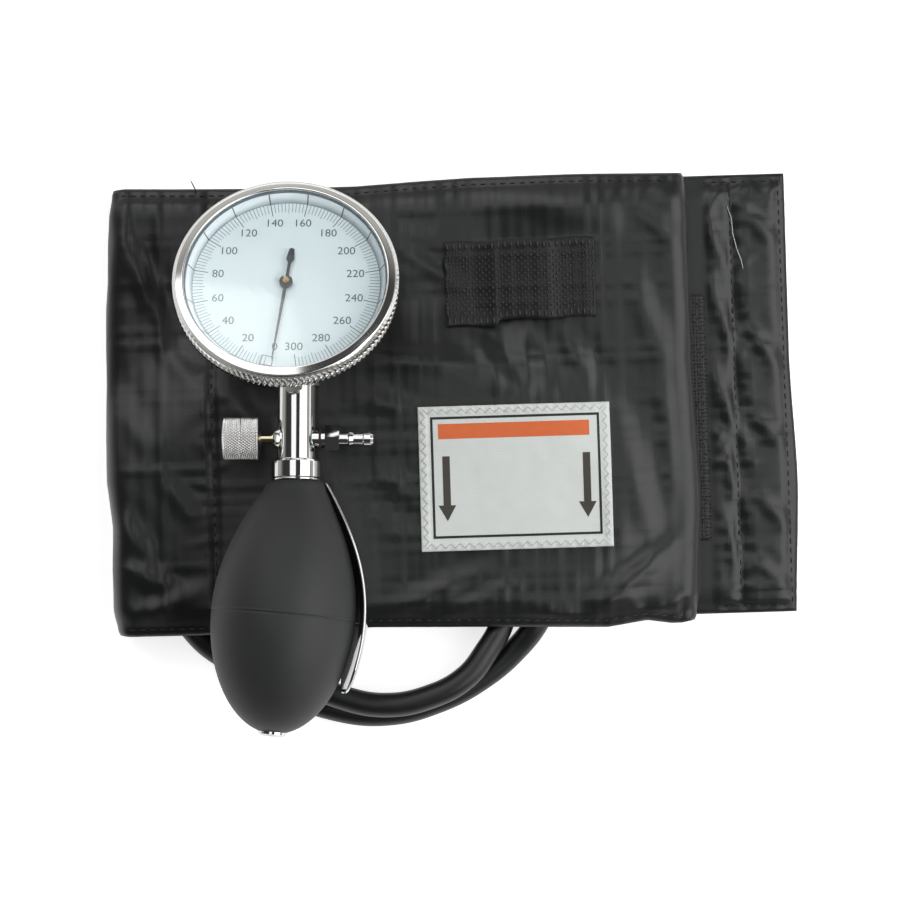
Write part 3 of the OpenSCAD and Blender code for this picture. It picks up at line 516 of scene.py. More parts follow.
# Grey sponge rubber of the gasket under the glass: dull, seen as a thin line round the dial.
GASKET_RUBBER = Finish("grey_gasket_rubber", "8A9196", "7C8388", 0.7, 0.06, 3.0, 0.5, 0.03)
# Cork-filled rubber of the packing.
PACKING = Finish("packing_rubber", "202020", "151515", 0.7, 0.06, 2.0, 0.5, 0.03)
# Vulcanised fibre washer: dull dark red brown.
FIBRE = Finish("brown_fibre", "40291F", "33201A", 0.65, 0.06, 2.0, 0.4, 0.02)
# Stove enamel on the aluminium dial: pale blue white, satin smooth.
DIAL_ENAMEL = Finish("dial_enamel", "D9E5E8", "D4E1E5", 0.42, 0.03, 15.0, 0.8, 0.003, coat=0.2)
# Painted ring between dial and glass: a clean white, which the shade inside the bezel greys.
RING_ENAMEL = Finish("ring_enamel", "F1F5F8", "EAF0F4", 0.4, 0.03, 8.0, 0.8, 0.003)
# Black paint on the stamped hand.
HAND_PAINT = Finish("hand_paint", "3C3F41", "303335", 0.45, 0.05, 3.0, 0.5, 0.005)


@dataclass(frozen=True)
class ClearGlass:
    """Pressed soda glass: clear, with a sharp reflection, and light passes it to the dial."""

    name: str = "clear_glass"
    tint: str = "F4FAFB"
    roughness: float = 0.015
    ior: float = 1.5

    def material(self) -> bpy.types.Material:
        """Returns the glass, made once."""
        return material_of(self.name, self._nodes)

    def _nodes(self, tree: bpy.types.NodeTree) -> None:
        """Adds its nodes. Its shadow is clear, so that the dial is lit through it.

        Args:
            tree: The empty tree.
        """
        place = add_node(tree, "TexCoord").outputs["Object"]
        waves = add_node(tree, "TexNoise", {"Vector": place, "Scale": 1 / (18 * MM), "Detail": 1.0})
        normal = add_node(
            tree, "Bump", {"Height": waves.outputs["Fac"], "Distance": 0.01 * MM, "Strength": 1.0}
        )
        glass = add_node(
            tree,
            "BsdfPrincipled",
            {
                "Base Color": linear(self.tint),
                "Roughness": self.roughness,
                "IOR": self.ior,
                "Transmission Weight": 1.0,
                "Normal": normal.outputs["Normal"],
            },
        )
        clear = add_node(tree, "BsdfTransparent")
        shadow = add_node(tree, "LightPath").outputs["Is Shadow Ray"]
        mixed = add_node(
            tree, "MixShader", {0: shadow, 1: glass.outputs["BSDF"], 2: clear.outputs["BSDF"]}
        )
        add_node(tree, "OutputMaterial", {"Surface": mixed.outputs["Shader"]})


GLASS = ClearGlass()


# ---------------------------------------------------------------- frames and pieces


@dataclass
class Frames:
    """The frames of the cuff, the palm unit and the gauge, each as a matrix from millimetres."""

    cuff: Matrix
    palm: Matrix
    gauge: Matrix

    @classmethod
    def from_joints(cls, joints: Iterable[dict], hand_depth: float = 4.42) -> "Frames":
        """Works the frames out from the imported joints.

        Args:
            joints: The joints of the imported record.
            hand_depth: Depth of the hand's joint below the bezel's front, in millimetres.

        Returns:
            The three frames.
        """
        by_name = {j["name"]: j for j in joints}
        swivel, turn = by_name["spoon_swivel"], by_name["hand_turn"]
        along = -Vector(swivel["axis"])
        facing = -Vector(turn["axis"])
        middle = Vector(turn["pos_m"]) + facing * hand_depth * MM
        cuff = Matrix.Translation(Vector(CUFF_CENTRE) * MM) @ Matrix.Rotation(CUFF_TURN, 4, "Z")
        return cls(
            cuff @ Matrix.Scale(MM, 4),
            cls._axes(Vector(swivel["pos_m"]), y=along),
            cls._axes(middle, z=facing),
        )

    @staticmethod
    def _axes(origin: Vector, y: Optional[Vector] = None, z: Optional[Vector] = None) -> Matrix:
        """A frame with X along the row's X, and Y or Z given, as a matrix from millimetres.

        Args:
            origin: Its origin in metres.
            y: Its Y direction, if given.
            z: Its Z direction, if given.

        Returns:
            The frame.
        """
        x = Vector((1.0, 0.0, 0.0))
        y = z.cross(x).normalized() if y is None else y.normalized()
        z = x.cross(y).normalized() if z is None else z.normalized()
        turn = Matrix((x, y, z)).transposed().to_4x4()
        return Matrix.Translation(origin) @ turn @ Matrix.Scale(MM, 4)


def add_piece(
    name: str,
    shape: Shape,
    frame: Matrix,
    finish: Finish,
    body: str,
    replaces: Sequence[str] = (),
) -> bpy.types.Object:
    """Makes a piece of the object, dresses it and lets it ride on a CAD body.

    Args:
        name: Name of the piece.
        shape: Its shape in millimetres.
        frame: The frame that the shape is in.
        finish: Its material.
        body: The CAD body that it rides on.
        replaces: The CAD nodes that it stands for.

    Returns:
        The new object.
    """
    mesh = bpy.data.meshes.new(name)
    mesh.from_pydata([tuple(frame @ Vector(p)) for p in shape.points], [], shape.faces)
    work = bmesh.new()
    work.from_mesh(mesh)
    bmesh.ops.remove_doubles(work, verts=work.verts, dist=1e-7)
    bmesh.ops.recalc_face_normals(work, faces=work.faces)
    work.to_mesh(mesh)
    work.free()
    mesh.polygons.foreach_set("use_smooth", [True] * len(mesh.polygons))
    mesh.materials.append(finish.material())
    piece = show(bpy.data.objects.new(name, mesh))
    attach(piece, body)
    if replaces:
        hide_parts(*replaces)
    LOG.info("%s: %d faces on %s", name, len(mesh.polygons), body)
    return piece


# ---------------------------------------------------------------- studio


@dataclass(frozen=True)
class Softbox:
    """A square lamp behind cloth, aimed at the object."""

    name: str
    azimuth: float
    elevation: float
    width: float
    height: float
    level: float
    distance: float = 1.3

    def build(self, target: Vector) -> None:
        """Adds the lamp. Its level is the brightness of its face, where 1 is white.

        Args:
            target: The point that it is aimed at.
        """
        data = bpy.data.lights.new(self.name, "AREA")
        data.shape = "RECTANGLE"
        data.size, data.size_y = self.width, self.height
        data.energy = self.level * math.pi * self.width * self.height
        lamp = show(bpy.data.objects.new(self.name, data))
        a, e = math.radians(self.azimuth), math.radians(self.elevation)
        way = Vector((math.cos(a) * math.cos(e), math.sin(a) * math.cos(e), math.sin(e)))
        lamp.location = target + way * self.distance
        lamp.rotation_euler = way.to_track_quat("Z", "Y").to_euler()


@dataclass
class Studio:
    """Camera straight above, white floor and soft lamps."""

    camera_height: float = 0.760
    lens: float = 91.0
    floor_size: float = 6.0
    floor_colour: str = "DCDCDC"
    lift: float = 0.75
    lamp: Softbox = Softbox("right_softbox", -3.0, 45.0, 1.05, 0.70, 2.6, 0.78)
    aim: Point = (0.0, 0.0, 0.03)
    wall: tuple[float, float, float] = (0.50, 0.49, 0.46)
    ceiling: float = 0.05
    rise: tuple[float, float] = (0.20, 0.50)
    panel: float = 1.5
    panel_edges: tuple[Point, ...] = (
        (-0.23, -0.586, 0.777), (-0.989, -0.125, 0.084), (0.55, 0.75, 0.1)
    )
    panel_soft: float = 0.03
    glow: float = 1.8
    glow_way: tuple[float, float] = (104.0, 43.0)
    glow_edge: float = 0.966

    def build(self) -> None:
        """Makes the camera, the floor, the world and the lamps."""
        scene = bpy.context.scene
        scene.view_settings.view_transform = "Standard"
        data = bpy.data.cameras.new("camera_above")
        data.lens, data.sensor_width, data.sensor_fit = self.lens, 36.0, "HORIZONTAL"
        data.clip_start, data.clip_end = 0.01, 50.0
        camera = show(bpy.data.objects.new("camera_above", data))
        camera.location = (0.0, 0.0, self.camera_height)
        scene.camera = camera
        self.lamp.build(Vector(self.aim))
        self._floor()
        self._world()

    def _floor(self) -> None:
        """Adds the floor. It shows as white, and keeps the object's shadow."""
        half = self.floor_size / 2
        mesh = bpy.data.meshes.new("floor")
        corners = [(x * half, y * half, 0) for x, y in ((-1, -1), (1, -1), (1, 1), (-1, 1))]
        mesh.from_pydata(corners, [], [(0, 1, 2, 3)])
        show(bpy.data.objects.new("floor", mesh))
        mesh.materials.append(material_of("white_floor", self._floor_nodes))

    def _floor_nodes(self, tree: bpy.types.NodeTree) -> None:
        """Adds the floor's nodes: matt white, lifted where the camera, metal or glass sees it.

        Args:
            tree: The empty tree.
        """
        path = add_node(tree, "LightPath").outputs
        seen = path["Is Camera Ray"]
        for ray in ("Is Glossy Ray", "Is Transmission Ray"):
            seen = add_node(tree, "Math", {0: seen, 1: path[ray]}, operation="MAXIMUM").outputs[0]
        lift = add_node(tree, "Math", {0: seen, 1: self.lift}, operation="MULTIPLY").outputs[0]
        matt = add_node(tree, "BsdfDiffuse", {"Color": linear(self.floor_colour)})
        glow = add_node(tree, "Emission", {"Color": WHITE, "Strength": lift})
        both = add_node(tree, "AddShader", {0: matt.outputs["BSDF"], 1: glow.outputs["Emission"]})
        add_node(tree, "OutputMaterial", {"Surface": both.outputs["Shader"]})

    def _world(self) -> None:
        """A grey wall, a dark ceiling and, far to the left, a white panel with a brighter middle.

        The camera itself sees white.
        """
        world = bpy.data.worlds.new("pale_studio")
        bpy.context.scene.world = world
        tree = fresh_tree(world)
        way = add_node(tree, "TexCoord").outputs["Generated"]
        height = add_node(tree, "SeparateXYZ", {"Vector": way}).outputs["Z"]
        ramp = add_node(tree, "ValToRGB", {"Fac": height})
        greys = (self.wall, (self.ceiling,) * 3)
        for stop, position, grey in zip(ramp.color_ramp.elements, self.rise, greys):
            stop.position, stop.color = position, (*grey, 1.0)
        panel: object = self.panel
        for edge in self.panel_edges:
            inside = self._side(tree, way, edge, 0.0, self.panel_soft)
            panel = add_node(tree, "Math", {0: panel, 1: inside}, operation="MULTIPLY").outputs[0]
        azimuth, elevation = (math.radians(a) for a in self.glow_way)
        flat = math.cos(elevation)
        middle = (flat * math.cos(azimuth), flat * math.sin(azimuth), math.sin(elevation))
        near = self._side(tree, way, middle, self.glow_edge, 1 - self.glow_edge)
        lit = add_node(
            tree, "Math", {0: self.glow, 1: near, 2: panel}, operation="MULTIPLY_ADD"
        ).outputs[0]
        parts = [
            add_node(tree, "Background", {"Color": colour, "Strength": level}).outputs[0]
            for colour, level in ((ramp.outputs["Color"], 1.0), (WHITE, lit), (WHITE, 1.0))
        ]
        both = add_node(tree, "AddShader", {0: parts[0], 1: parts[1]}).outputs["Shader"]
        seen = add_node(tree, "LightPath").outputs["Is Camera Ray"]
        shown = add_node(tree, "MixShader", {0: seen, 1: both, 2: parts[2]})
        add_node(tree, "OutputWorld", {"Surface": shown.outputs["Shader"]})

    @staticmethod
    def _side(
        tree: bpy.types.NodeTree, way: bpy.types.NodeSocket, edge: Point, low: float, soft: float
    ) -> bpy.types.NodeSocket:
        """How far a direction lies on the inner side of an edge.

        Args:
            tree: The world's tree.
            way: The direction that is looked in.
            edge: The edge's own direction, which points inward.
            low: Where the inner side begins, as a cosine.
            soft: Width of the change, as a cosine.

        Returns:
            The socket with 0 outside, 1 inside and a soft change between them.
        """
        inward = Vector(edge).normalized()
        dot = add_node(tree, "VectorMath", {0: way, 1: inward}, operation="DOT_PRODUCT")
        return add_node(
            tree,
            "MapRange",
            {"Value": dot.outputs["Value"], "From Min": low, "From Max": low + soft},
            interpolation_type="SMOOTHSTEP",
        ).outputs["Result"]


# ---------------------------------------------------------------- air tube


@dataclass
class AirTube:
    """Rubber tube, coiled inside the fold and below the cuff. Points are in row millimetres."""

    diameter: float = 8.0
    on_cuff: float = 7.4
    on_tube: float = 12.5
    on_table: float = 4.0
    length: float = 0.6245

    def route(self) -> list[Point]:
        """The points of its centre line, from the bladder port to the bare end.

        Returns:
            The points in millimetres.
        """
        c, t, low = self.on_cuff, self.on_tube, self.on_table
        return [
            (10, -26, c), (14, -34, c), (16.6, -42, c), (17, -50, c), (15.4, -57, c + 0.1),
            (11, -64.4, t - 2.5), (4, -73, t - 0.5), (-8, -79.4, t), (-22, -82, t), (-36, -79.6, t),
            (-50, -73.4, t - 0.3), (-62, -66, t - 2.3), (-70, -58.6, c + 0.1), (-76, -50, c),
            (-81, -38, c), (-82, -26, c), (-77, -14, c), (-66, -5, c), (-50, 1, c), (-32, 5, c),
            (-14, 5, c), (4, 2, c), (19, -6, c), (29, -19, c), (32.6, -34, c), (31, -47, c),
            (27.4, -55.4, c), (21, -64, low + 1), (10, -73.6, low), (-5, -81.6, low),
            (-22, -85.8, low), (-40, -84, low), (-58, -77, low), (-74, -68, low + 0.2),
            (-84, -59.6, c), (-90, -50, c), (-94, -36, c), (-94, -22, c), (-88, -9, c),
            (-77, 3, c), (-61, 11, c), (-43, 15, c), (-25, 16, c), (-8, 15, c), (4, 13.4, c),
        ]

    def build(self) -> None:
        points = self.route()
        data = bpy.data.curves.new("air_tube_hose", "CURVE")
        data.dimensions = "3D"
        data.bevel_depth = self.diameter / 2 * MM
        data.bevel_resolution = 8
        data.resolution_u = 10
        data.use_fill_caps = True
        line = data.splines.new("BEZIER")
        line.bezier_points.add(len(points) - 1)
        for knot, p in zip(line.bezier_points, points):
            knot.co = Vector(p) * MM
            knot.handle_left_type = knot.handle_right_type = "AUTO"
        data.materials.append(TUBE_RUBBER.material())
        tube = show(bpy.data.objects.new("air_tube_hose", data))
        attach(tube, "cuff")
        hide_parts("air_tube")
        LOG.info("air_tube_hose: %d points on cuff", len(points))


# ---------------------------------------------------------------- cuff


@dataclass(frozen=True)
class Crease:
    """A soft fold in the cloth, from one place of the cuff to another."""

    u0: float
    w0: float
    u1: float
    w1: float
    width: float
    height: float

    def lift(self, u: np.ndarray, w: np.ndarray) -> np.ndarray:
        """Height of the fold at each place, with a shallow valley along one side of it.

        Args:
            u: Places along the cuff.
            w: Places across it.

        Returns:
            The heights.
        """
        run = (self.u1 - self.u0, self.w1 - self.w0)
        size = float(np.hypot(*run))
        along = ((u - self.u0) * run[0] + (w - self.w0) * run[1]) / size**2
        off = ((w - self.w0) * run[0] - (u - self.u0) * run[1]) / size
        taper = np.sin(np.pi * np.clip(along, 0, 1)) ** 0.8
        ridge = hump(off, self.width) - 0.55 * hump(off - 1.7 * self.width, 1.3 * self.width)
        return self.height * taper * ridge


@dataclass(frozen=True)
class Seam:
    """A sewn line on the cloth with the puckers that it draws in."""

    start: tuple[float, float]
    end: tuple[float, float]
    depth: float
    pucker: float
    stitch: float = 3.2
    seed: int = 1

    def length(self) -> float:
        """Length of the seam."""
        return math.dist(self.start, self.end)

    def lift(self, u: np.ndarray, w: np.ndarray) -> np.ndarray:
        """Height of the seam's groove and puckers at each place.

        Args:
            u: Places along the cuff.
            w: Places across it.

        Returns:
            The heights.
        """
        du, dw = self.end[0] - self.start[0], self.end[1] - self.start[1]
        size = self.length()
        along = ((u - self.start[0]) * du + (w - self.start[1]) * dw) / size
        off = ((w - self.start[1]) * du - (u - self.start[0]) * dw) / size
        inside = smooth((along + 1.5) / 3) * smooth((size + 1.5 - along) / 3)
        lift = -self.depth * hump(off, 1.3) * inside
        pick = random.Random(self.seed)
        at = 2.0
        while at < size - 2:
            reach, slant = pick.uniform(3.5, 9.5), pick.uniform(-0.55, 0.55)
            height, side = self.pucker * pick.uniform(0.4, 1.0), pick.choice((-1, 1))
            away = np.maximum(side * off, 0.0)
            drift = along - at - slant * side * away
            fan = hump(drift, 1.1) * hump(away - 0.35 * reach, 0.55 * reach)
            lift = lift + height * fan * inside
            at += pick.uniform(2.6, 5.8)
        return lift


@dataclass
class FoldedCuff:
    """Cuff of coated nylon over a bladder, folded over its tube. Places are u along, w across."""

    width: float = 145.0
    web: float = 3.0
    top: float = 5.0
    soft: float = 0.3
    reach: float = 6.0
    left: float = 113.4
    right: float = 78.5
    open_end: float = 111.5
    flap_u: float = 46.5
    flap_z: float = 5.4
    coil_centre: tuple[float, float] = (-30.6, -51.0)
    coil_size: tuple[float, float] = (65.6, 50.6)
    coil_lift: float = 8.3
    step: float = 1.25
    low_run: float = 220.0
    top_run: float = 185.0
    turn_rows: int = 14
    flap_rows: int = 12
    rim_share: float = 0.45
    label_patch: Row = (-11.7, 50.5, -48.4, -1.6)
    pad: Row = (-94, 38, -60, 60)
    pad_half: Row = (0.25, 0.62)
    pad_rim: float = 5.0
    top_waves: tuple[Row, ...] = ((0.55, 26.0, 1.5), (0.22, 9.0, 4.5))
    low_waves: tuple[Row, ...] = ((0.3, 16.0, 9.5), (0.15, 7.0, 12.5))
    pressed: tuple[Row, ...] = ((-54.5, -66, 30, 46), (-52, 46, 34, 34))
    high_hem: tuple[Row, ...] = (
        (-111, 1.1), (-90, 0.4), (-66, -0.2), (-33, -0.6), (-8, 0.6), (8, 1.2), (40, 0.8), (77, 0.1)
    )
    low_hem: tuple[Row, ...] = (
        (-113, -0.9), (-85, -1.1), (-60, -0.6), (-28, -0.2), (10, -1.2), (48, -2.4), (61, -0.6),
        (69, -1.9), (80, -2.0),
    )
    left_bulge: tuple[Row, ...] = (
        (-72, -0.1), (-52, 0.1), (-38, -0.7), (-23, 1.0), (-2, 1.0), (20, 0.6), (71, -0.2)
    )
    creases: tuple[Row, ...] = (
        (-22, 54, 6, 36, 2.6, 1.1), (-33, 60, -4, 52, 3.2, 0.9), (-30, 47, -8, 41, 2.4, 0.8),
        (20, 64, 58, 58, 4.5, 0.7), (60, 62, 76, 48, 3.0, 0.8), (8, 22, 18, 2, 3.0, 1.0),
        (22, 22, 27, 2, 3.2, 0.9), (35, 24, 46, 4, 3.0, 0.9), (-30, 16, 6, 12, 3.4, 1.0),
        (-36, 4, -10, -4, 3.4, 0.8), (-26, -20, -12, -34, 3.4, 0.6),
        (-34, -34, -14, -44, 3.6, 0.6), (54, -2, 62, -46, 3.6, 0.8), (66, 20, 72, -36, 3.4, 0.7),
        (58, 44, 70, 8, 4.0, 0.8), (-32, -70, 14, -54, 3.2, 1.1), (-14, -72, 22, -58, 2.6, 0.9),
        (18, -66, 46, -70, 2.6, 0.8), (40, -70, 66, -52, 3.4, 1.3), (52, -62, 76, -44, 3.0, 1.1),
        (58, -70, 76, -64, 2.2, 0.9), (-110, 66, -98, 34, 3.4, 1.1),
        (-104, 52, -92, 20, 3.0, 0.9), (-100, 26, -82, 6, 3.6, 0.9),
        (-112, -30, -98, -52, 3.0, 1.0), (-110, -50, -88, -60, 3.0, 1.2),
        (-106, -66, -80, -58, 2.6, 1.1), (-112, 8, -100, -14, 3.6, 0.8),
        (-98, -18, -82, -40, 3.2, 0.8), (-74, 8, -60, -14, 3.4, 0.7),
    )
    low_creases: tuple[Row, ...] = (
        (83, 58, 92, 70, 2.2, 0.9), (84, 62, 91, 40, 2.4, 1.1), (85, 40, 95, 8, 2.6, 1.3),
        (86, 10, 96, -22, 2.6, 1.4), (86, -8, 95, -40, 2.4, 1.1), (87, -34, 93, -60, 2.4, 1.0),
        (97, 62, 108, 48, 2.4, 0.9), (97, 24, 109, 6, 2.4, 1.0), (97, -6, 110, -18, 2.2, 0.8),
        (98, -32, 111, -46, 2.4, 0.9), (97, -54, 108, -64, 2.0, 0.8),
    )
    seams: tuple[Seam, ...] = (
        Seam((-78.5, -71), (-78.5, 71), 0.9, 0.55, seed=3),
        Seam((-108, 70.2), (74, 70.2), 0.45, 0.40, seed=5),
        Seam((-108, -70.2), (74, -70.2), 0.45, 0.40, seed=7),
    )
    low_seams: tuple[Seam, ...] = (
        Seam((93.2, -70), (93.2, 71), 1.1, 0.75, seed=11),
        Seam((110.2, -70), (109.4, 71), 0.45, 0.45, seed=13),
        Seam((84, 70.2), (110, 70.2), 0.4, 0.35, seed=17),
        Seam((84, -70.2), (110, -70.2), 0.4, 0.35, seed=19),
    )

    def left_u(self, w: np.ndarray) -> np.ndarray:
        """Place of the left fold."""
        return -self.left + 1.6 * smooth((w - 20) / 50)

    def right_u(self, w: np.ndarray) -> np.ndarray:
        """Place of the right fold."""
        return self.right + 1.6 * smooth((40 - np.abs(w + 30)) / 40)

    def end_u(self, w: np.ndarray) -> np.ndarray:
        """Place of the open end."""
        return self.open_end + 1.6 * smooth((45 - np.abs(w + 30)) / 45)

    def under(self, u: np.ndarray, w: np.ndarray) -> np.ndarray:
        """Height of the top layer's underside, over the coil of tube and the flap.

        Args:
            u: Places along the cuff.
            w: Places across it.

        Returns:
            The heights.
        """
        far = np.hypot(
            (u - self.coil_centre[0]) / self.coil_size[0],
            (w - self.coil_centre[1]) / self.coil_size[1],
        )
        coil = smooth((1.75 - far) / 0.5)
        flap = self.flap_z * smooth((u - self.flap_u + 40) / 40)
        return self.web + self.soft + coil * self.coil_lift + (1 - coil) * flap

    def edge(self, w: np.ndarray) -> np.ndarray:
        """Share of the full thickness near the hems."""
        return 0.42 + 0.58 * smooth((self.width / 2 - np.abs(w)) / 9)

    def calm(self, u: np.ndarray, w: np.ndarray) -> np.ndarray:
        """Share of the creases that is left where the bulb and the gauge press on the cloth."""
        near = (np.hypot((u - u0) / du, (w - w0) / dw) for u0, w0, du, dw in self.pressed)
        return smooth(np.minimum(*near) - 0.55)

    @staticmethod
    def ripple(u: np.ndarray, w: np.ndarray, size: float, seed: float) -> np.ndarray:
        """Uneven waves of the cloth, of a size in millimetres, from about -1 to 1.

        Args:
            u: Places along the cuff.
            w: Places across it.
            size: Size of a wave in millimetres.
            seed: Number that sets the pattern.

        Returns:
            The heights.
        """
        along, across = (0.8 * u + 0.6 * w) / size, (0.8 * w - 0.6 * u) / (1.6 * size)
        flat = [
            noise.noise(Vector((a, b, seed)), noise_basis="PERLIN_NEW")
            + 0.4 * noise.noise(Vector((2.1 * a, 2.3 * b, seed + 7)), noise_basis="PERLIN_NEW")
            for a, b in zip(np.ravel(along), np.ravel(across))
        ]
        return np.reshape(flat, np.shape(u))

    def waves(self, u: np.ndarray, w: np.ndarray, rows: Iterable[Row]) -> np.ndarray:
        """Sum of some ripples, each with its height, size and seed."""
        return sum(height * self.ripple(u, w, size, seed) for height, size, seed in rows)

    def top_relief(self, u: np.ndarray, w: np.ndarray) -> np.ndarray:
        """Creases, puckers and waves of the top layer.

        Args:
            u: Places along the cuff.
            w: Places across it.

        Returns:
            The heights.
        """
        total = self.waves(u, w, self.top_waves)
        for row in self.creases:
            total = total + Crease(*row).lift(u, w)
        x0, x1, y0, y1 = self.label_patch
        inward = (u - x0, x1 - u, w - y0, y1 - w)
        under_label = math.prod(smooth((gap + 2) / 8) for gap in inward)
        total = total * (1 - 0.75 * under_label)
        for seam in self.seams:
            total = total + seam.lift(u, w)
        calm = self.calm(u, w)
        return np.where(calm < 1, np.minimum(total, 0.1) * (1 - calm) * 0.4 + total * calm, total)

    def low_relief(self, u: np.ndarray, w: np.ndarray) -> np.ndarray:
        """Creases and puckers of the layer on the table, where it shows.

        Args:
            u: Places along the cuff.
            w: Places across it.

        Returns:
            The heights.
        """
        total = self.waves(u, w, self.low_waves)
        for part in (*(Crease(*row) for row in self.low_creases), *self.low_seams):
            total = total + part.lift(u, w)
        return np.maximum(total, -1.1) * smooth((u - 83.5) / 4) - 0.05

    def top_height(self, u: np.ndarray, w: np.ndarray) -> np.ndarray:
        """Height of the top layer's upper side."""
        return self.under(u, w) + self.top * self.edge(w) + self.top_relief(u, w)

    def low_height(self, u: np.ndarray, w: np.ndarray) -> np.ndarray:
        """Height of the table layer's upper side."""
        end = 0.45 + 0.55 * smooth((self.end_u(w) - u) / 6)
        return self.web * np.minimum(self.edge(w), end) + self.low_relief(u, w)

    def hem(self, u: np.ndarray, w: np.ndarray) -> np.ndarray:
        """Sideways shift of the hems of the top layer, which aren't quite straight.

        Args:
            u: Places along the cuff.
            w: Places across it.

        Returns:
            The shifts.
        """
        high = np.interp(u, *zip(*self.high_hem))
        low = np.interp(u, *zip(*self.low_hem))
        return np.where(w > 0, high, low) * smooth((np.abs(w) - 56) / 15)

    def _sides(self) -> tuple[np.ndarray, np.ndarray]:
        """Both sides of the folded strip, as grids from the open end over the top to the flap.

        Returns:
            The outer and the inner points.
        """
        ws = np.linspace(-self.width / 2, self.width / 2, int(self.width / self.step) + 1)
        flat, turn = 0 * ws, [k / self.turn_rows for k in range(self.turn_rows)]
        end, u1, u2 = self.end_u(ws), self.left_u(ws) + self.reach, self.right_u(ws) - self.reach
        rows = []
        for u in self._steps(end, u1, int(self.low_run / self.step)):
            rows.append(self._flat_row(u, ws, flat, self.low_height(u, ws), low=True))
        rows += [self._turn_row(u1, ws, self.web / 2, -1, share) for share in turn]
        for u in self._steps(u1, u2, int(self.top_run / self.step)):
            rows.append(self._flat_row(u, ws, self.under(u, ws), self.top_height(u, ws), low=False))
        flap_middle = self.flap_z + self.web / 2
        rows += [self._turn_row(u2, ws, flap_middle, 1, 1 - share) for share in turn]
        for u in (*self._steps(u2, self.flap_u, self.flap_rows), self.flap_u + flat):
            base = self.flap_z + flat
            rows.append(self._flat_row(u, ws, base, base + self.web * self.edge(ws), low=True))
        outer, inner = (np.array(side) for side in zip(*rows))
        for edge in (0, -1):
            for index in ((edge,), (slice(None), edge)):
                middle = (outer[index] + inner[index]) / 2
                for side in (outer, inner):
                    side[index] = middle + self.rim_share * (side[index] - middle)
        return outer, inner

    @staticmethod
    def _steps(start: np.ndarray, end: np.ndarray, count: int) -> list[np.ndarray]:
        """Even steps from one row of places towards another, without the last one."""
        return [start + (end - start) * k / count for k in range(count)]

    def _flat_row(
        self, u: np.ndarray, w: np.ndarray, base: np.ndarray, high: np.ndarray, low: bool
    ) -> tuple[np.ndarray, np.ndarray]:
        """One row across a flat run.

        Args:
            u: Places along the cuff.
            w: Places across it.
            base: Heights of its underside.
            high: Heights of its upper side.
            low: Whether its outside faces down.

        Returns:
            Its outer and inner points.
        """
        shift = 0 * w if low else self.hem(u, w)
        up = np.stack([u, w + shift, high], -1)
        down = np.stack([u, w + shift, base], -1)
        return (down, up) if low else (up, down)

    def _turn_row(
        self, u: np.ndarray, w: np.ndarray, z1: float, side: int, share: float
    ) -> tuple[np.ndarray, np.ndarray]:
        """One row across a half turn of the cloth.

        Args:
            u: Places where the turn begins.
            w: Places across the cuff.
            z1: Height of the lower layer's middle.
            side: 1 for the turn on the right and -1 for the left one.
            share: How far the row belongs to the upper layer.

        Returns:
            Its outer and inner points.
        """
        angle, t = math.pi * (share - 0.5), self.web + (self.top - self.web) * share
        ca, sa = math.cos(angle), math.sin(angle)
        z2 = self.under(u, w) + self.top / 2
        wave = 0.25 * self.ripple(0 * w + 30 * angle, w, 11.0, 20.0 + side) * ca
        if side < 0:
            wave = wave + np.interp(w, *zip(*self.left_bulge)) * ca
        w = w + share * self.hem(u, w)
        mid_u = u + side * ((self.reach - t / 2) * ca + wave)
        mid_z = (z1 + z2) / 2 + (z2 - z1) / 2 * sa
        lift = share * self.top_relief(u, w) * max(sa, 0.0)
        outer = np.stack([mid_u + side * ca * t / 2, w, mid_z + sa * t / 2 + lift], -1)
        inner = np.stack([mid_u - side * ca * t / 2, w, mid_z - sa * t / 2], -1)
        thin = (1 - self.edge(w))[:, None]
        return (
            outer + share * thin * (inner - outer),
            inner + (1 - share) * thin * (outer - inner),
        )

    def build(self, frame: Matrix) -> None:
        """Makes the cloth, its stitching and loose threads, and the bladder inside it.

        Args:
            frame: The frame that the shape is built in.
        """
        outer, inner = self._sides()
        outer[..., 2] = np.maximum(outer[..., 2], 0.0)
        cloth = add_piece("cuff_cloth", slab(outer, inner), frame, NYLON, "cuff", ["cuff"])
        stitches = Shape()
        for seam in self.seams:
            stitches.add(self._stitching(seam, self.top_height, True))
        for seam in self.low_seams:
            stitches.add(self._stitching(seam, self.low_height, False))
        hem = float(self.top_height(np.array([-82.6]), np.array([71.0]))[0])
        end = ((-82.6, 71.0, 0.0), (-82.8, 72.6, 0.6), (-83.6, 74.3, 0.8), (-84.2, 75.6, 0.3))
        stitches.add(rod([(u, w, hem + lift) for u, w, lift in end], 0.2))
        add_piece("cuff_stitching", stitches, frame, DARK_THREAD, "cuff")
        u = np.array([92.2, 93.6, 93.9, 95.0, 96.3, 96.9])
        w = np.array([62.0, 58.0, 53.0, 48.0, 44.0, 41.0])
        thread = list(zip(u, w, self.low_height(u, w) + 0.3))
        add_piece("loose_pale_thread", rod(thread, 0.18), frame, PALE_THREAD, "cuff")
        self._bladder(frame)

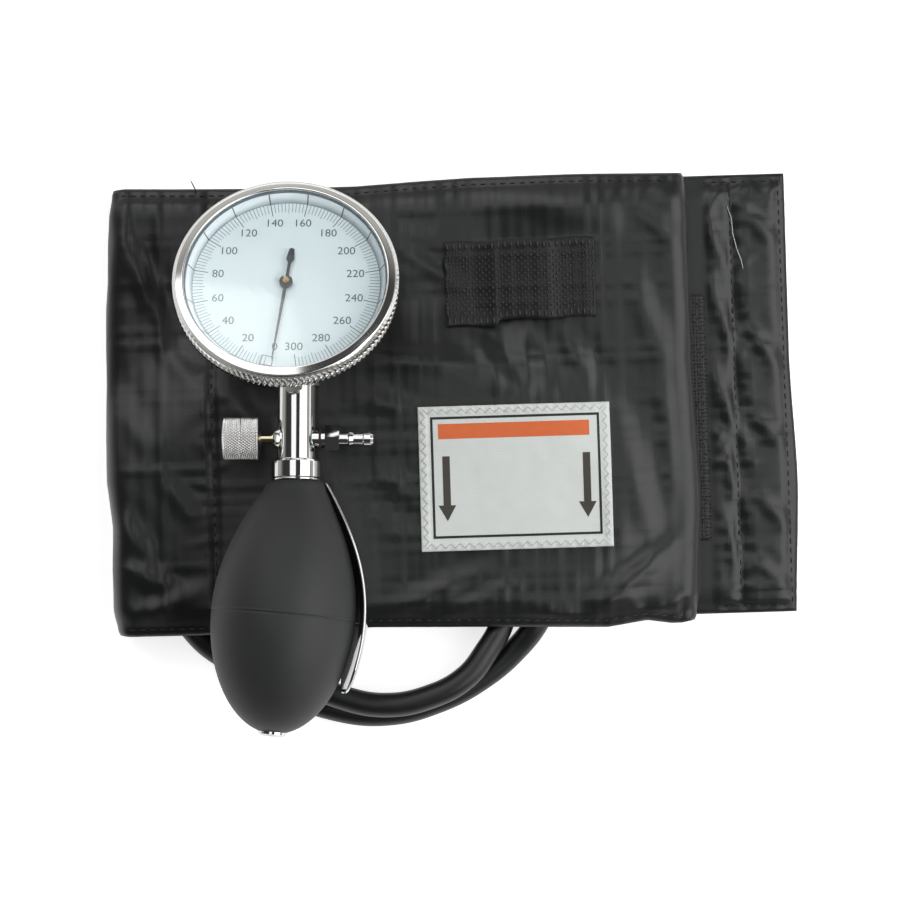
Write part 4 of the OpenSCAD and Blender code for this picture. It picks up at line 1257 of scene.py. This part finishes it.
    def _stitching(self, seam: Seam, height: Callable, shifted: bool) -> Shape:
        """Thread of a seam, one short rod per stitch, let into the cloth.

        Args:
            seam: The seam.
            height: Gives the height of the cloth.
            shifted: Whether the seam follows the top layer's uneven hems.

        Returns:
            The stitches.
        """
        made = Shape()
        size = seam.length()
        du, dw = (seam.end[0] - seam.start[0]) / size, (seam.end[1] - seam.start[1]) / size
        for k in range(int(size / seam.stitch)):
            ats = np.array([k * seam.stitch + s * seam.stitch for s in (0.12, 0.3, 0.5, 0.7, 0.88)])
            u, w = seam.start[0] + du * ats, seam.start[1] + dw * ats
            z = height(u, w) + np.array([-0.25, 0.08, 0.16, 0.08, -0.25])
            shift = self.hem(u, w) if shifted else 0 * w
            made.add(rod(list(zip(u, w + shift, z)), 0.24))
        return made

    def _bladder(self, frame: Matrix) -> None:
        """Makes the flat bladder inside the top layer.

        Args:
            frame: The frame that the shape is built in.
        """
        u0, u1, w0, w1 = self.pad
        u, w = places((u0, u1), (w0, w1), 67, 61)
        gaps = np.minimum(u - u0, u1 - u), np.minimum(w - w0, w1 - w)
        rim = math.prod(smooth(gap / self.pad_rim) for gap in gaps)
        middle = self.under(u, w) + self.top / 2
        half = self.pad_half[0] + self.pad_half[1] * rim
        pad = plate(u, w, middle - half, middle + half)
        piece = add_piece(
            "bladder_pad", pad, frame, BLADDER_RUBBER, "cuff", ["bladder"]
        )


@dataclass
class SewnLabel:
    """Satin label with a printed border, a stripe and two arrows, sewn on with a zigzag."""

    cuff: FoldedCuff
    length: float = 62.2
    height: float = 46.9
    centre: tuple[float, float] = (19.4, -25.0)
    thickness: float = 0.4
    float_height: float = 0.45
    waves: tuple[Row, ...] = ((0.3, 17.0, 31.0), (0.1, 8.0, 35.0))
    border: Row = (3.9, 3.45, 3.4, 4.1)
    line: float = 0.8
    stripe: Row = (6.4, 55.4, 5.7, 10.6)
    arrows: tuple[float, float] = (8.7, 54.2)
    shaft: tuple[float, float, float] = (1.2, 16.2, 32.1)
    head: tuple[float, float] = (2.85, 5.1)
    zigzag: tuple[float, float] = (1.65, 0.7)
    pucker: float = 3.1

    def surface(self, x: np.ndarray, y: np.ndarray, lift: float) -> np.ndarray:
        """Points on the label, x from its left edge and y down from its top edge.

        Args:
            x: Places from the left edge.
            y: Places from the top edge.
            lift: Height above the label's underside.

        Returns:
            The points.
        """
        u = self.centre[0] - self.length / 2 + x
        w = self.centre[1] + self.height / 2 - y
        rim = np.minimum.reduce([x, self.length - x, y, self.height - y])
        along = np.where(np.minimum(y, self.height - y) < np.minimum(x, self.length - x), x, y)
        swell = smooth((3.0 - rim) / 0.7) * smooth((rim - 0.3) / 0.7)
        gap = np.abs(np.sin(np.pi * along / self.pucker)) ** 0.6
        wave = 0.16 * np.sin(x * 0.9 + 2) * smooth((1.2 - rim) / 1.2)
        return np.stack([u, w, self.bed(u, w) + lift + 0.34 * swell * gap + wave], -1)

    def bed(self, u: np.ndarray, w: np.ndarray) -> np.ndarray:
        """Height of the label's underside: flatter than the cloth, with soft waves of its own."""
        waves = self.cuff.waves(u, w, self.waves)
        return self.cuff.under(u, w) + self.cuff.top + self.float_height + waves

    def _patch(self, rows: Sequence[tuple[float, float, float]], columns: int) -> Shape:
        """Ink on the label.

        Args:
            rows: Height from the top edge, and left and right end, of each row of the patch.
            columns: Number of points across it.

        Returns:
            The patch, which lies on the satin.
        """
        share = np.linspace(0, 1, columns)
        y = np.array([[r[0]] * columns for r in rows])
        x = np.array([r[1] + (r[2] - r[1]) * share for r in rows])
        points = self.surface(x, y, self.thickness + 0.07)
        return Shape(points_of(points), grid_faces(len(rows), columns))

    def _bar(self, x0: float, x1: float, y0: float, y1: float) -> Shape:
        """A straight bar of ink, cut fine enough to follow the cloth.

        Args:
            x0: Left end.
            x1: Right end.
            y0: Upper edge.
            y1: Lower edge.

        Returns:
            The bar.
        """
        rows = max(2, int((y1 - y0) / 0.6) + 1)
        columns = max(2, int((x1 - x0) / 0.6) + 1)
        return self._patch([(y, x0, x1) for y in np.linspace(y0, y1, rows)], columns)

    def _arrow(self, x: float) -> Shape:
        """An arrow that points down.

        Args:
            x: Place of its middle line from the left edge.

        Returns:
            The arrow.
        """
        half, top, low = self.shaft
        wide, tall = self.head
        head = []
        for share in np.linspace(0, 1, 10):
            reach = wide * (1 - share) + 0.01
            head.append((low + tall * share, x - reach, x + reach))
        return self._bar(x - half, x + half, top, low).add(self._patch(head, 9))

    def _zigzag(self) -> Shape:
        """White zigzag thread round the label, between its edge and the printed border.

        Returns:
            The thread.
        """
        made = Shape()
        (inset, swing), pitch = self.zigzag, self.pucker / 2
        far, low = self.length - inset, self.height - inset
        corners = [(inset, inset), (far, inset), (far, low), (inset, low)]
        for start, end in zip(corners, corners[1:] + corners[:1]):
            size = math.dist(start, end)
            way = ((end[0] - start[0]) / size, (end[1] - start[1]) / size)
            count = int(size / pitch)
            xs, ys = [], []
            for k in range(count + 1):
                off = swing if k % 2 else -swing
                xs.append(start[0] + way[0] * pitch * k - way[1] * off)
                ys.append(start[1] + way[1] * pitch * k + way[0] * off)
            line = self.surface(np.array(xs), np.array(ys), self.thickness + 0.06)
            made.add(rod(points_of(line), 0.17))
        return made

    def build(self, frame: Matrix) -> None:
        """Makes the label, its ink and its thread.

        Args:
            frame: The frame that the shape is built in.
        """
        x, y = places((0, self.length), (0, self.height), 125, 95)
        satin = slab(self.surface(x, y, self.thickness), self.surface(x, y, 0.0))
        label = add_piece("sewn_label", satin, frame, SATIN, "cuff", ["label"])
        x0, right, y0, bottom = self.border
        x1, y1 = self.length - right, self.height - bottom
        wide, arrows, black = self.line, Shape(), Shape()
        for bar in (
            (x0, x1, y0, y0 + wide), (x0, x1, y1 - wide, y1),
            (x0, x0 + wide, y0, y1), (x1 - wide, x1, y0, y1),
        ):
            black.add(self._bar(*bar))
        for place in self.arrows:
            arrows.add(self._arrow(place))
        trims = (
            ("label_border", black, BLACK_INK),
            ("label_arrows", arrows, GREY_INK),
            ("label_stripe", self._bar(*self.stripe), ORANGE_INK),
            ("label_zigzag", self._zigzag(), PALE_THREAD),
        )
        pieces = [add_piece(name, trim, frame, ink, "cuff") for name, trim, ink in trims]


@dataclass
class WebbingLoop:
    """Loop of coarse webbing for the gauge, sewn down at both ends."""

    cuff: FoldedCuff
    length: float = 48.6
    width: float = 26.0
    centre: tuple[float, float] = (22.9, 39.3)
    thickness: float = 1.2
    rise: float = 2.2
    sewn: float = 9.0
    yarn: tuple[float, float] = (2.1, 2.0)

    def _surface(self, x: np.ndarray, y: np.ndarray) -> np.ndarray:
        """Points of the underside, x from the left end and y up from the lower edge.

        Args:
            x: Places from the left end.
            y: Places from the lower edge.

        Returns:
            The points.
        """
        fold = smooth((17.5 - x) / 1.2)
        low = -1.7 * fold * smooth((10 - y) / 10)
        u = self.centre[0] - self.length / 2 + x + 0.35 * np.sin(y * 0.9) * smooth((2 - x) / 2)
        w = self.centre[1] - self.width / 2 + y + low + 0.25 * np.sin(x * 0.33)
        free = smooth(x / self.sewn - 1) * smooth((self.length - x) / self.sewn - 1)
        base = self.cuff.top_height(u, w)
        return np.stack([u, w, base + 0.12 + self.rise * free + 0.3 * fold], -1)

    def _floats(self) -> Shape:
        """Yarn that floats on the webbing: a twill, ribs along both selvedges and sewn ends.

        Returns:
            The yarn.
        """
        made = Shape()
        pick = random.Random(41)
        across, up = self.yarn
        for i in range(int((self.length - 12) / across * 2) + 1):
            x = 5.9 + i * across / 2
            for k in range(int((self.width - 6.4) / up) + 1):
                y = 3.6 + k * up + (up / 2 if i % 2 else 0)
                if y < self.width - 3.4:
                    made.add(self._yarn(x, y, 0.10, 0.56, 0.30 + pick.uniform(-0.05, 0.04)))
        for i in range(int(self.length / across) + 1):
            x = 0.7 + i * across
            if x < self.length - 0.3:
                made.add(self._yarn(x, 1.75, 0.0, 1.25, 0.36))
                made.add(self._yarn(x, self.width - 1.75, 0.0, 1.25, 0.36))
        for start in (0.5, self.length - 4.9):
            for i in range(5):
                for k in range(int((self.width - 6) / 1.25)):
                    x = start + i * 1.1 + pick.uniform(-0.2, 0.2)
                    y = 3.6 + k * 1.25 + pick.uniform(-0.25, 0.25)
                    made.add(self._yarn(x, y, pick.uniform(-0.3, 0.3), 0.4, 0.26))
        return made

    def _yarn(self, x: float, y: float, lean: float, half: float, radius: float) -> Shape:
        """One float of yarn, which dips into the webbing at both ends.

        Args:
            x: Its middle from the left end.
            y: Its middle from the lower edge.
            lean: How far its ends lean along the webbing.
            half: Half its length.
            radius: Its radius.

        Returns:
            The float.
        """
        share = np.array([-1.0, -0.55, 0.0, 0.55, 1.0])
        line = self._surface(x + lean * share, y + half * share)
        line[:, 2] += self.thickness + np.array([-0.25, 0.02, 0.12, 0.02, -0.25])
        return rod(points_of(line), radius)

    def build(self, frame: Matrix) -> None:
        """Makes the webbing with its yarn.

        Args:
            frame: The frame that the shape is built in.
        """
        x, y = places((0, self.length), (0, self.width), 98, 53)
        under = self._surface(x, y)
        over = under.copy()
        rim = smooth((np.minimum(y, self.width - y) + 0.25) / 0.8)
        over[..., 2] += self.thickness * (0.4 + 0.6 * rim)
        strap = add_piece(
            "webbing_loop", slab(over, under), frame, WEBBING, "cuff", ["gauge_strap"]
        )
        # The floats' lighter colour than the webbing is a painted glint.
        yarn = add_piece("webbing_yarn_painted_glint", self._floats(), frame, GLINT_PAINTED_YARN, "cuff")


@dataclass
class HookPatch:
    """Hook tape on the flap. A strip of it shows beside the right fold."""

    left: float = 48.5
    right: float = 83.5
    low: float = -48.0
    length: float = 81.0
    base: float = 3.3
    thickness: float = 1.0
    spacing: float = 1.25
    show_from: float = 78.2
    hook: tuple[Row, ...] = (
        (0, 0, 0, 0), (0.1, 0, 0, 0.45), (0.45, 0.2, 0.1, 0.75), (0.8, 0.5, 0.2, 0.55)
    )

    def build(self, frame: Matrix) -> None:
        """Makes the tape and the hooks that can be seen.

        Args:
            frame: The frame that the shape is built in.
        """
        u, w = places((self.left, self.right), (self.low, self.low + self.length), 30, 82)
        fray = 0.25 * np.sin(w * 2.3) * smooth((u - self.right + 1.3) / 1.2)
        base = self.base + 0 * u
        made = plate(u + fray, w, base, base + self.thickness)
        pick = random.Random(23)
        columns = int((self.right - self.show_from) / self.spacing)
        for i in range(columns + 1):
            for k in range(int(self.length / self.spacing)):
                x = self.right - 0.3 - i * self.spacing + pick.uniform(-0.25, 0.25)
                y = self.low + 0.6 + k * self.spacing + pick.uniform(-0.25, 0.25)
                lean = pick.uniform(-0.5, 0.9)
                z = self.base + self.thickness - 0.1
                bow = [
                    (x + bend * lean + reach, y + side, z + lift)
                    for bend, reach, side, lift in self.hook
                ]
                made.add(rod(bow, 0.13, 4))
        add_piece("hook_tape", made, frame, HOOK_TAPE, "cuff", ["hook_patch"])


# ---------------------------------------------------------------- bulb and spoon


@dataclass
class Bulb:
    """Squeeze bulb of moulded rubber that leans a little from the handle."""

    diameter: float = 45.4
    length: float = 79.4
    belly: float = 41.9
    mouth: float = 16.6
    lean: float = math.radians(5.0)
    intake: float = 9.0
    sides: int = 144

    def radius(self, t: float) -> float:
        """Radius at a distance from the mouth.

        Args:
            t: Distance from the mouth.

        Returns:
            The radius.
        """
        r = self.diameter / 2
        if t <= self.belly:
            narrow = math.acos(self.mouth / self.diameter)
            return r * math.cos(narrow * (self.belly - t) / self.belly)
        return r * math.sqrt(max(0.0, 1 - ((t - self.belly) / (self.length - self.belly)) ** 2))

    def _rings(self) -> list[tuple[float, float]]:
        """Radius of each ring and its distance from the mouth, finest at the parting line.

        Returns:
            Radius and distance of each ring.
        """
        belly = self.belly
        end = belly + (self.length - belly) * math.sqrt(1 - (self.intake / self.diameter) ** 2)
        ts = [
            *np.linspace(0.1, belly - 1.6, 44),
            *np.arange(belly - 1.5, belly + 2.2, 0.14),
            *(belly + 2.3 + (end - belly - 2.3) * np.sin(np.linspace(0.02, 1, 46) * math.pi / 2)),
        ]
        rings = [(max(self.radius(ts[0]) - 1.6, 1.0), ts[0])]
        for t in ts:
            seam = 0.13 * hump(t - belly, 0.28) - 0.15 * hump(t - belly - 0.55, 0.3)
            lip = 0.35 * hump(t - 1.2, 1.1)
            rings.append((self.radius(t) + float(seam) + float(lip), t))
        return [*rings, (self.intake / 2 - 1.4, end + 0.05)]

    def build(self, frame: Matrix) -> None:
        """Makes the bulb's skin with its raised parting line.

        Args:
            frame: The frame that the shape is built in.
        """
        rings, steps = self._rings(), self.sides
        loops = []
        for r, t in rings:
            turn = self.lean * min(1.0, t / 9)
            drift = -math.sin(self.lean) * max(0.0, t - 0.8 * (1 - math.exp(-t)))
            fall = -t * math.cos(self.lean)
            for k in range(steps):
                x, z = r * math.cos(math.tau * k / steps), r * math.sin(math.tau * k / steps)
                loops.append((drift + x * math.cos(turn), fall - x * math.sin(turn), z))
        shape = Shape(loops, tube_faces(len(rings), steps))
        add_piece("bulb_skin", shape, frame, BULB_RUBBER, "palm_unit", ["bulb"])


@dataclass
class Spoon:
    """Chromed finger spoon: an eye under the collar and a blade that follows the bulb."""

    bulb: Bulb
    plate: float = 1.0
    front: float = 13.0
    span: float = 56.0
    swivel: float = 55.0
    length: float = 65.0
    gap: float = 0.7
    eye: tuple[float, float] = (5.05, 7.7)

    def inner(self, t: float) -> float:
        """Inner radius of the blade at a distance from the mouth."""
        drop = t * math.sin(self.bulb.lean) * math.cos(math.radians(self.front + self.swivel))
        return self.bulb.radius(t) - drop + self.gap

    def _loop(self, t: float, taper: float, thin: float) -> list[Point]:
        """Points round one cross-section of the blade, with rounded edges.

        Args:
            t: Distance from the mouth.
            taper: Share of the full width.
            thin: Share of the full thickness.

        Returns:
            The points.
        """
        middle = math.radians(self.front - self.span / 2)
        half = math.radians(self.span / 2) * taper
        inner = self.inner(min(t, self.length)) - 0.55 * max(0.0, t - self.length)
        rows = []
        count, edge = 36, 5
        bead = self.plate / 2 / inner
        swing = half - bead
        for way, share in ((1, 0.0), (-1, 1.0)):
            for k in range(count + 1):
                rows.append((middle + way * swing * (2 * k / count - 1), share))
            for k in range(1, edge):
                a = math.pi * k / edge
                turn = middle + way * (swing + math.sin(a) * bead)
                rows.append((turn, (1 - way * math.cos(a)) / 2))
        out = []
        for a, share in rows:
            r = inner + self.plate * (0.5 + (share - 0.5) * thin)
            out.append((r * math.cos(a), -t, r * math.sin(a)))
        return out

    def build(self, frame: Matrix) -> None:
        """Makes the blade and the eye.

        Args:
            frame: The frame that the shape is built in.
        """
        tip = self.length
        loops = []
        for t in (*np.linspace(0.6, tip - 9, 48), *np.linspace(tip - 8.6, tip + 1.4, 22)):
            over = max(0.0, (t - (tip - 9)) / 10.4)
            taper = math.sqrt(max(0.02, 1 - 0.86 * over**2.4))
            thin = math.sqrt(max(0.04, 1 - max(0.0, (t - tip - 0.6) / 0.85) ** 2))
            loops.append(self._loop(t, taper, thin))
        shape = Shape([p for loop in loops for p in loop], tube_faces(len(loops), len(loops[0])))
        low, high = self.eye
        corner = high - 0.3
        ring = [(low, 0.1), (corner, 0.1), (high, 0.4), (high, 0.9), (corner, 1.2), (low, 1.2)]
        turn = Matrix.Rotation(math.radians(-90), 4, "X")
        shape.add(lathe(ring, 72, closed=True).moved(turn))
        add_piece("spoon_blade", shape, frame, CHROME, "spoon", ["spoon"])


@dataclass
class ValveKnob:
    """Knurled knob of the release valve, on the left of the handle."""

    diameter: float = 13.5
    length: float = 11.7
    start: float = 11.6
    side_y: float = 13.8
    teeth: int = 44
    groove: float = 0.5
    slant: float = 0.8
    cuts: tuple[float, float] = (1.0, 0.36)

    def _carve(self, angle: float, r: float, z: float) -> float:
        """Cut of the knurl: ridges that slant, crossed by a finer set.

        Args:
            angle: Angle round the knob.
            r: Radius.
            z: Distance from the handle's axis.

        Returns:
            The change of radius.
        """
        x = z - self.start
        full = self.diameter / 2
        if r < full - 0.6 or abs(x - self.length / 2) < self.groove / 2:
            return 0.0
        slant = self.slant / full
        one = abs(math.sin((angle + slant * x) * self.teeth / 2))
        two = abs(math.sin((angle - slant * x) * self.teeth / 2))
        fade = min(1.0, (x - 0.35) / 0.5, (self.length - 0.5 - x) / 0.5)
        deep, fine = self.cuts
        return -max(fade, 0.0) * (deep * (1 - one) ** 1.1 + fine * (1 - two) ** 1.2)

    def build(self, frame: Matrix) -> None:
        """Makes the knob.

        Args:
            frame: The frame that the shape is built in.
        """
        r, x0, x1 = self.diameter / 2, self.start, self.start + self.length
        middle, half = (x0 + x1) / 2, self.groove / 2
        profile = [(1.52, x0 + 0.3), (1.6, x0), (r - 1.0, x0), (r - 0.45, x0 + 0.15)]
        profile += [(r, float(x)) for x in np.arange(x0 + 0.45, middle - half - 0.1, 0.22)]
        profile += [(r, middle - half), (r - 0.7, middle - half / 2)]
        profile += [(r - 0.7, middle + half / 2), (r, middle + half)]
        profile += [(r, float(x)) for x in np.arange(middle + half + 0.15, x1 - 0.8, 0.22)]
        profile += [(r, x1 - 0.7), (r - 0.5, x1 - 0.35), (r - 1.3, x1 - 0.15)]
        profile += [(r * 0.5, x1 - 0.02), (0.3, x1), (0.02, x1)]
        turn = Matrix.Rotation(math.radians(-90), 4, "Y")
        turn.translation = (0.0, self.side_y, 0.0)
        shape = lathe(profile, self.teeth * 8, self._carve).moved(turn)
        add_piece(
            "knob_knurl", shape, frame, KNURLED_CHROME, "knob", ["valve_knob"]
        )


# ---------------------------------------------------------------- gauge


@dataclass
class Bezel:
    """Bezel with a polished rounded front and two rows of slanted knurl."""

    radius: float = 35.8
    height: float = 8.4
    glass: float = 32.1
    thread: float = 33.92
    teeth: int = 120
    depth: float = 0.7
    slant: float = 0.012

    def _rows(self) -> tuple[float, float, float]:
        """Top, middle and bottom height of the knurl."""
        return -1.7, -(1.7 + self.height - 0.5) / 2, -(self.height - 0.5)

    def _carve(self, angle: float, r: float, z: float) -> float:
        """Cut of the knurl: the rows slant opposite ways, with a groove between them.

        Args:
            angle: Angle round the bezel.
            r: Radius.
            z: Height below its front.

        Returns:
            The change of radius.
        """
        top, middle, bottom = self._rows()
        if r < self.radius - 0.25 or not bottom < z < top:
            return 0.0
        way = 1 if z > middle else -1
        wave = abs(math.sin((angle + way * self.slant * (z - middle)) * self.teeth / 2))
        fade = min(1.0, (top - z) / 0.35, (z - bottom) / 0.35, (abs(z - middle) - 0.12) / 0.25)
        return -self.depth * (1 - max(fade, 0.0) * wave**0.7)

    def build(self, frame: Matrix) -> None:
        """Makes the bezel.

        Args:
            frame: The frame that the shape is built in.
        """
        r, g = self.radius, self.glass
        front = [(g, -1.5), (g, -0.78), (g + 0.06, -0.52), (g + 0.19, -0.35), (g + 0.4, -0.26)]
        run = r - 1.15 - (g + 0.4)
        front += [(g + 0.4 + run * k / 6, -0.26 - 0.6 * (k / 6) ** 1.06) for k in range(1, 7)]
        front += [(r - 0.98, -0.94), (r - 0.88, -1.07), (r - 0.85, -1.22)]
        top, _, bottom = self._rows()
        sides = [(r - 0.84, -1.36), (r - 0.98, -1.48), (r - 0.98, -1.58)]
        for z in np.arange(top, bottom - 0.01, -0.24):
            sides.append((r, float(z)))
        back = [(r - 0.7, -self.height + 0.3), (r - 1.0, -self.height), (self.thread, -self.height)]
        inner = [(self.thread, -3.0), (33.2, -2.8), (33.2, -1.5)]
        shape = lathe(front + sides + back + inner, self.teeth * 7, self._carve, closed=True)
        add_piece(
            "bezel_ring", shape, frame, KNURLED_CHROME, "palm_unit", ["bezel"]
        )


@dataclass
class DialFace:
    """Print of the dial: a scale of 0 to 300 round 345 degrees, and the painted ring outside it."""

    face: float = -6.02
    scale: float = math.radians(345.0)
    top: int = 300
    outer: float = 29.8
    ring_out: float = 31.55
    ring_z: float = -2.68
    figure: float = 2.75
    figure_ring: float = 22.7
    inner: tuple[float, float, float] = (26.5, 25.9, 25.3)
    tick: float = 0.2
    long_mark: float = 0.24
    ring_mark: float = 0.34
    zero_box: tuple[float, float] = (26.3, 29.5)
    zero_width: float = math.radians(7.6)
    zero_line: float = 0.26

    def _angle(self, value: float) -> float:
        """Angle of a value, anticlockwise from the gauge's X axis."""
        gap = (math.tau - self.scale) / 2
        return -math.pi / 2 - gap - self.scale * value / self.top

    def _mark(
        self, value: float, start: tuple[float, float], end: tuple[float, float], wide: float
    ) -> Shape:
        """A straight mark of the scale.

        Args:
            value: The scale's value at the mark.
            start: Radius and height of its inner end.
            end: Radius and height of its outer end.
            wide: Width of the mark.

        Returns:
            The mark.
        """
        a = self._angle(value)
        way, side = (math.cos(a), math.sin(a)), (-math.sin(a), math.cos(a))
        points = [
            (way[0] * r + side[0] * s * wide / 2, way[1] * r + side[1] * s * wide / 2, z)
            for (r, z), s in ((start, -1), (start, 1), (end, 1), (end, -1))
        ]
        return Shape(points, [(0, 1, 2, 3)])

    def _figure(self, value: int) -> Shape:
        """A number of the scale, upright on the dial.

        Args:
            value: The number.

        Returns:
            Its filled outline.
        """
        data = bpy.data.curves.new("figure", "FONT")
        data.body = str(value)
        data.size = self.figure / 0.72
        data.align_x, data.align_y = "CENTER", "CENTER"
        data.space_character = 1.02
        text = show(bpy.data.objects.new("figure", data))
        bpy.context.view_layer.update()
        ready = text.evaluated_get(bpy.context.evaluated_depsgraph_get())
        mesh = bpy.data.meshes.new_from_object(ready)
        a = self._angle(value)
        r = self.figure_ring - 0.6 * math.cos(a) ** 2
        x, y, z = r * math.cos(a), r * math.sin(a), self.face + INK_LIFT
        shape = Shape(
            [(v.co.x + x, v.co.y + y, z) for v in mesh.vertices],
            [tuple(p.vertices) for p in mesh.polygons],
        )
        bpy.data.objects.remove(text)
        bpy.data.curves.remove(data)
        bpy.data.meshes.remove(mesh)
        return shape

    def _zero_box(self) -> Shape:
        """The outlined box beside the first mark.

        Returns:
            Its four lines.
        """
        made = Shape()
        half = self.zero_line / 2
        near, far = self.zero_box
        start, end = self._angle(0) + 0.003, self._angle(0) - self.zero_width
        corners = [(near, start), (near, end), (far, end), (far, start)]
        box = [(r * math.cos(t), r * math.sin(t)) for r, t in corners]
        z = self.face + INK_LIFT + 0.005
        for (x0, y0), (x1, y1) in zip(box, box[1:] + box[:1]):
            size = math.hypot(x1 - x0, y1 - y0)
            sx, sy = -(y1 - y0) / size * half, (x1 - x0) / size * half
            bar = [(x0 + sx, y0 + sy), (x0 - sx, y0 - sy), (x1 - sx, y1 - sy), (x1 + sx, y1 + sy)]
            made.add(Shape([(x, y, z) for x, y in bar], [(0, 1, 2, 3)]))
        return made

    def build(self, frame: Matrix) -> None:
        """Makes the ticks, the long marks, the numbers, the zero box and the ring.

        Args:
            frame: The frame that the shape is built in.
        """
        ticks, marks, figures = Shape(), Shape(), Shape()
        z = self.face + INK_LIFT
        for value in range(4, self.top, 2):
            if value % 20:
                inner = self.inner[value % 10 == 0]
                ticks.add(self._mark(value, (inner, z), (self.outer, z), self.tick))
        climb = (self.outer + 0.12, self.face + 0.06), (self.ring_out - 0.04, self.ring_z + 0.06)
        for value in range(20, self.top + 1, 20):
            marks.add(self._mark(value, (self.inner[2], z), (self.outer, z), self.long_mark))
            marks.add(self._mark(value, *climb, self.ring_mark))
        rim = [(self.outer - 0.08, self.face + 0.02), (self.outer + 0.08, self.face + 0.025)]
        ticks.add(lathe(rim, 180))
        for value in range(0, self.top + 1, 20):
            figures.add(self._figure(value))
        figures.add(self._zero_box())
        floor = self.face + 0.01
        cone = [
            (self.outer + 0.1, floor),
            (self.ring_out, self.ring_z),
            (self.ring_out + 0.08, self.ring_z),
            (self.ring_out + 0.08, floor),
        ]
        ring = lathe(cone, 180, closed=True)
        for name, shape, finish in (
            ("dial_ticks", ticks, TICK_INK),
            ("dial_long_marks", marks, GREY_INK),
            ("dial_figures", figures, FIGURE_INK),
            ("dial_ring", ring, RING_ENAMEL),
        ):
            add_piece(name, shape, frame, finish, "palm_unit")


NODE_FINISHES: tuple[tuple[Finish | ClearGlass, str], ...] = (
    (TUBE_RUBBER, "bladder_port"),
    (CHROME, "handle bulb_collar intake_body tube_connector gauge_case"),
    (STEEL, "intake_ball outlet_ball ball_stop capsule_button"),
    (BRASS, "intake_screen outlet_seat pinion_arbor sector_gear front_plate back_plate"),
    (BRASS, "plate_pillars movement_posts rocker capsule_stem"),
    (NICKEL, "valve_bush valve_stem"),
    (PACKING, "valve_packing"),
    (FIBRE, "connector_washer"),
    (GASKET_RUBBER, "glass_gasket"),
    (DIAL_ENAMEL, "dial"),
    (HAND_PAINT, "hand"),
    (BRONZE, "hairspring capsule_upper capsule_lower"),
    (GLASS, "glass"),
)


def dress_nodes(nodes: dict[str, bpy.types.Object]) -> None:
    """Gives every CAD node that stays its real material.

    Args:
        nodes: The CAD nodes by name.
    """
    for finish, names in NODE_FINISHES:
        for name in names.split():
            nodes[name].data.materials.clear()
            nodes[name].data.materials.append(finish.material())
            LOG.info("%s: dressed in %s", name, finish.name)


def main() -> None:
    """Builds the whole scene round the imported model."""
    logging.basicConfig(level=logging.INFO, format="%(name)s: %(message)s")
    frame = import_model()
    frames = Frames.from_joints(frame["joints"])
    Studio().build()
    AirTube().build()
    cuff = FoldedCuff()
    cuff.build(frames.cuff)
    SewnLabel(cuff).build(frames.cuff)
    WebbingLoop(cuff).build(frames.cuff)
    HookPatch().build(frames.cuff)
    bulb = Bulb()
    bulb.build(frames.palm)
    Spoon(bulb).build(frames.palm)
    ValveKnob().build(frames.palm)
    Bezel().build(frames.gauge)
    DialFace().build(frames.gauge)
    dress_nodes(frame["nodes"])


if __name__ == "__main__":
    main()
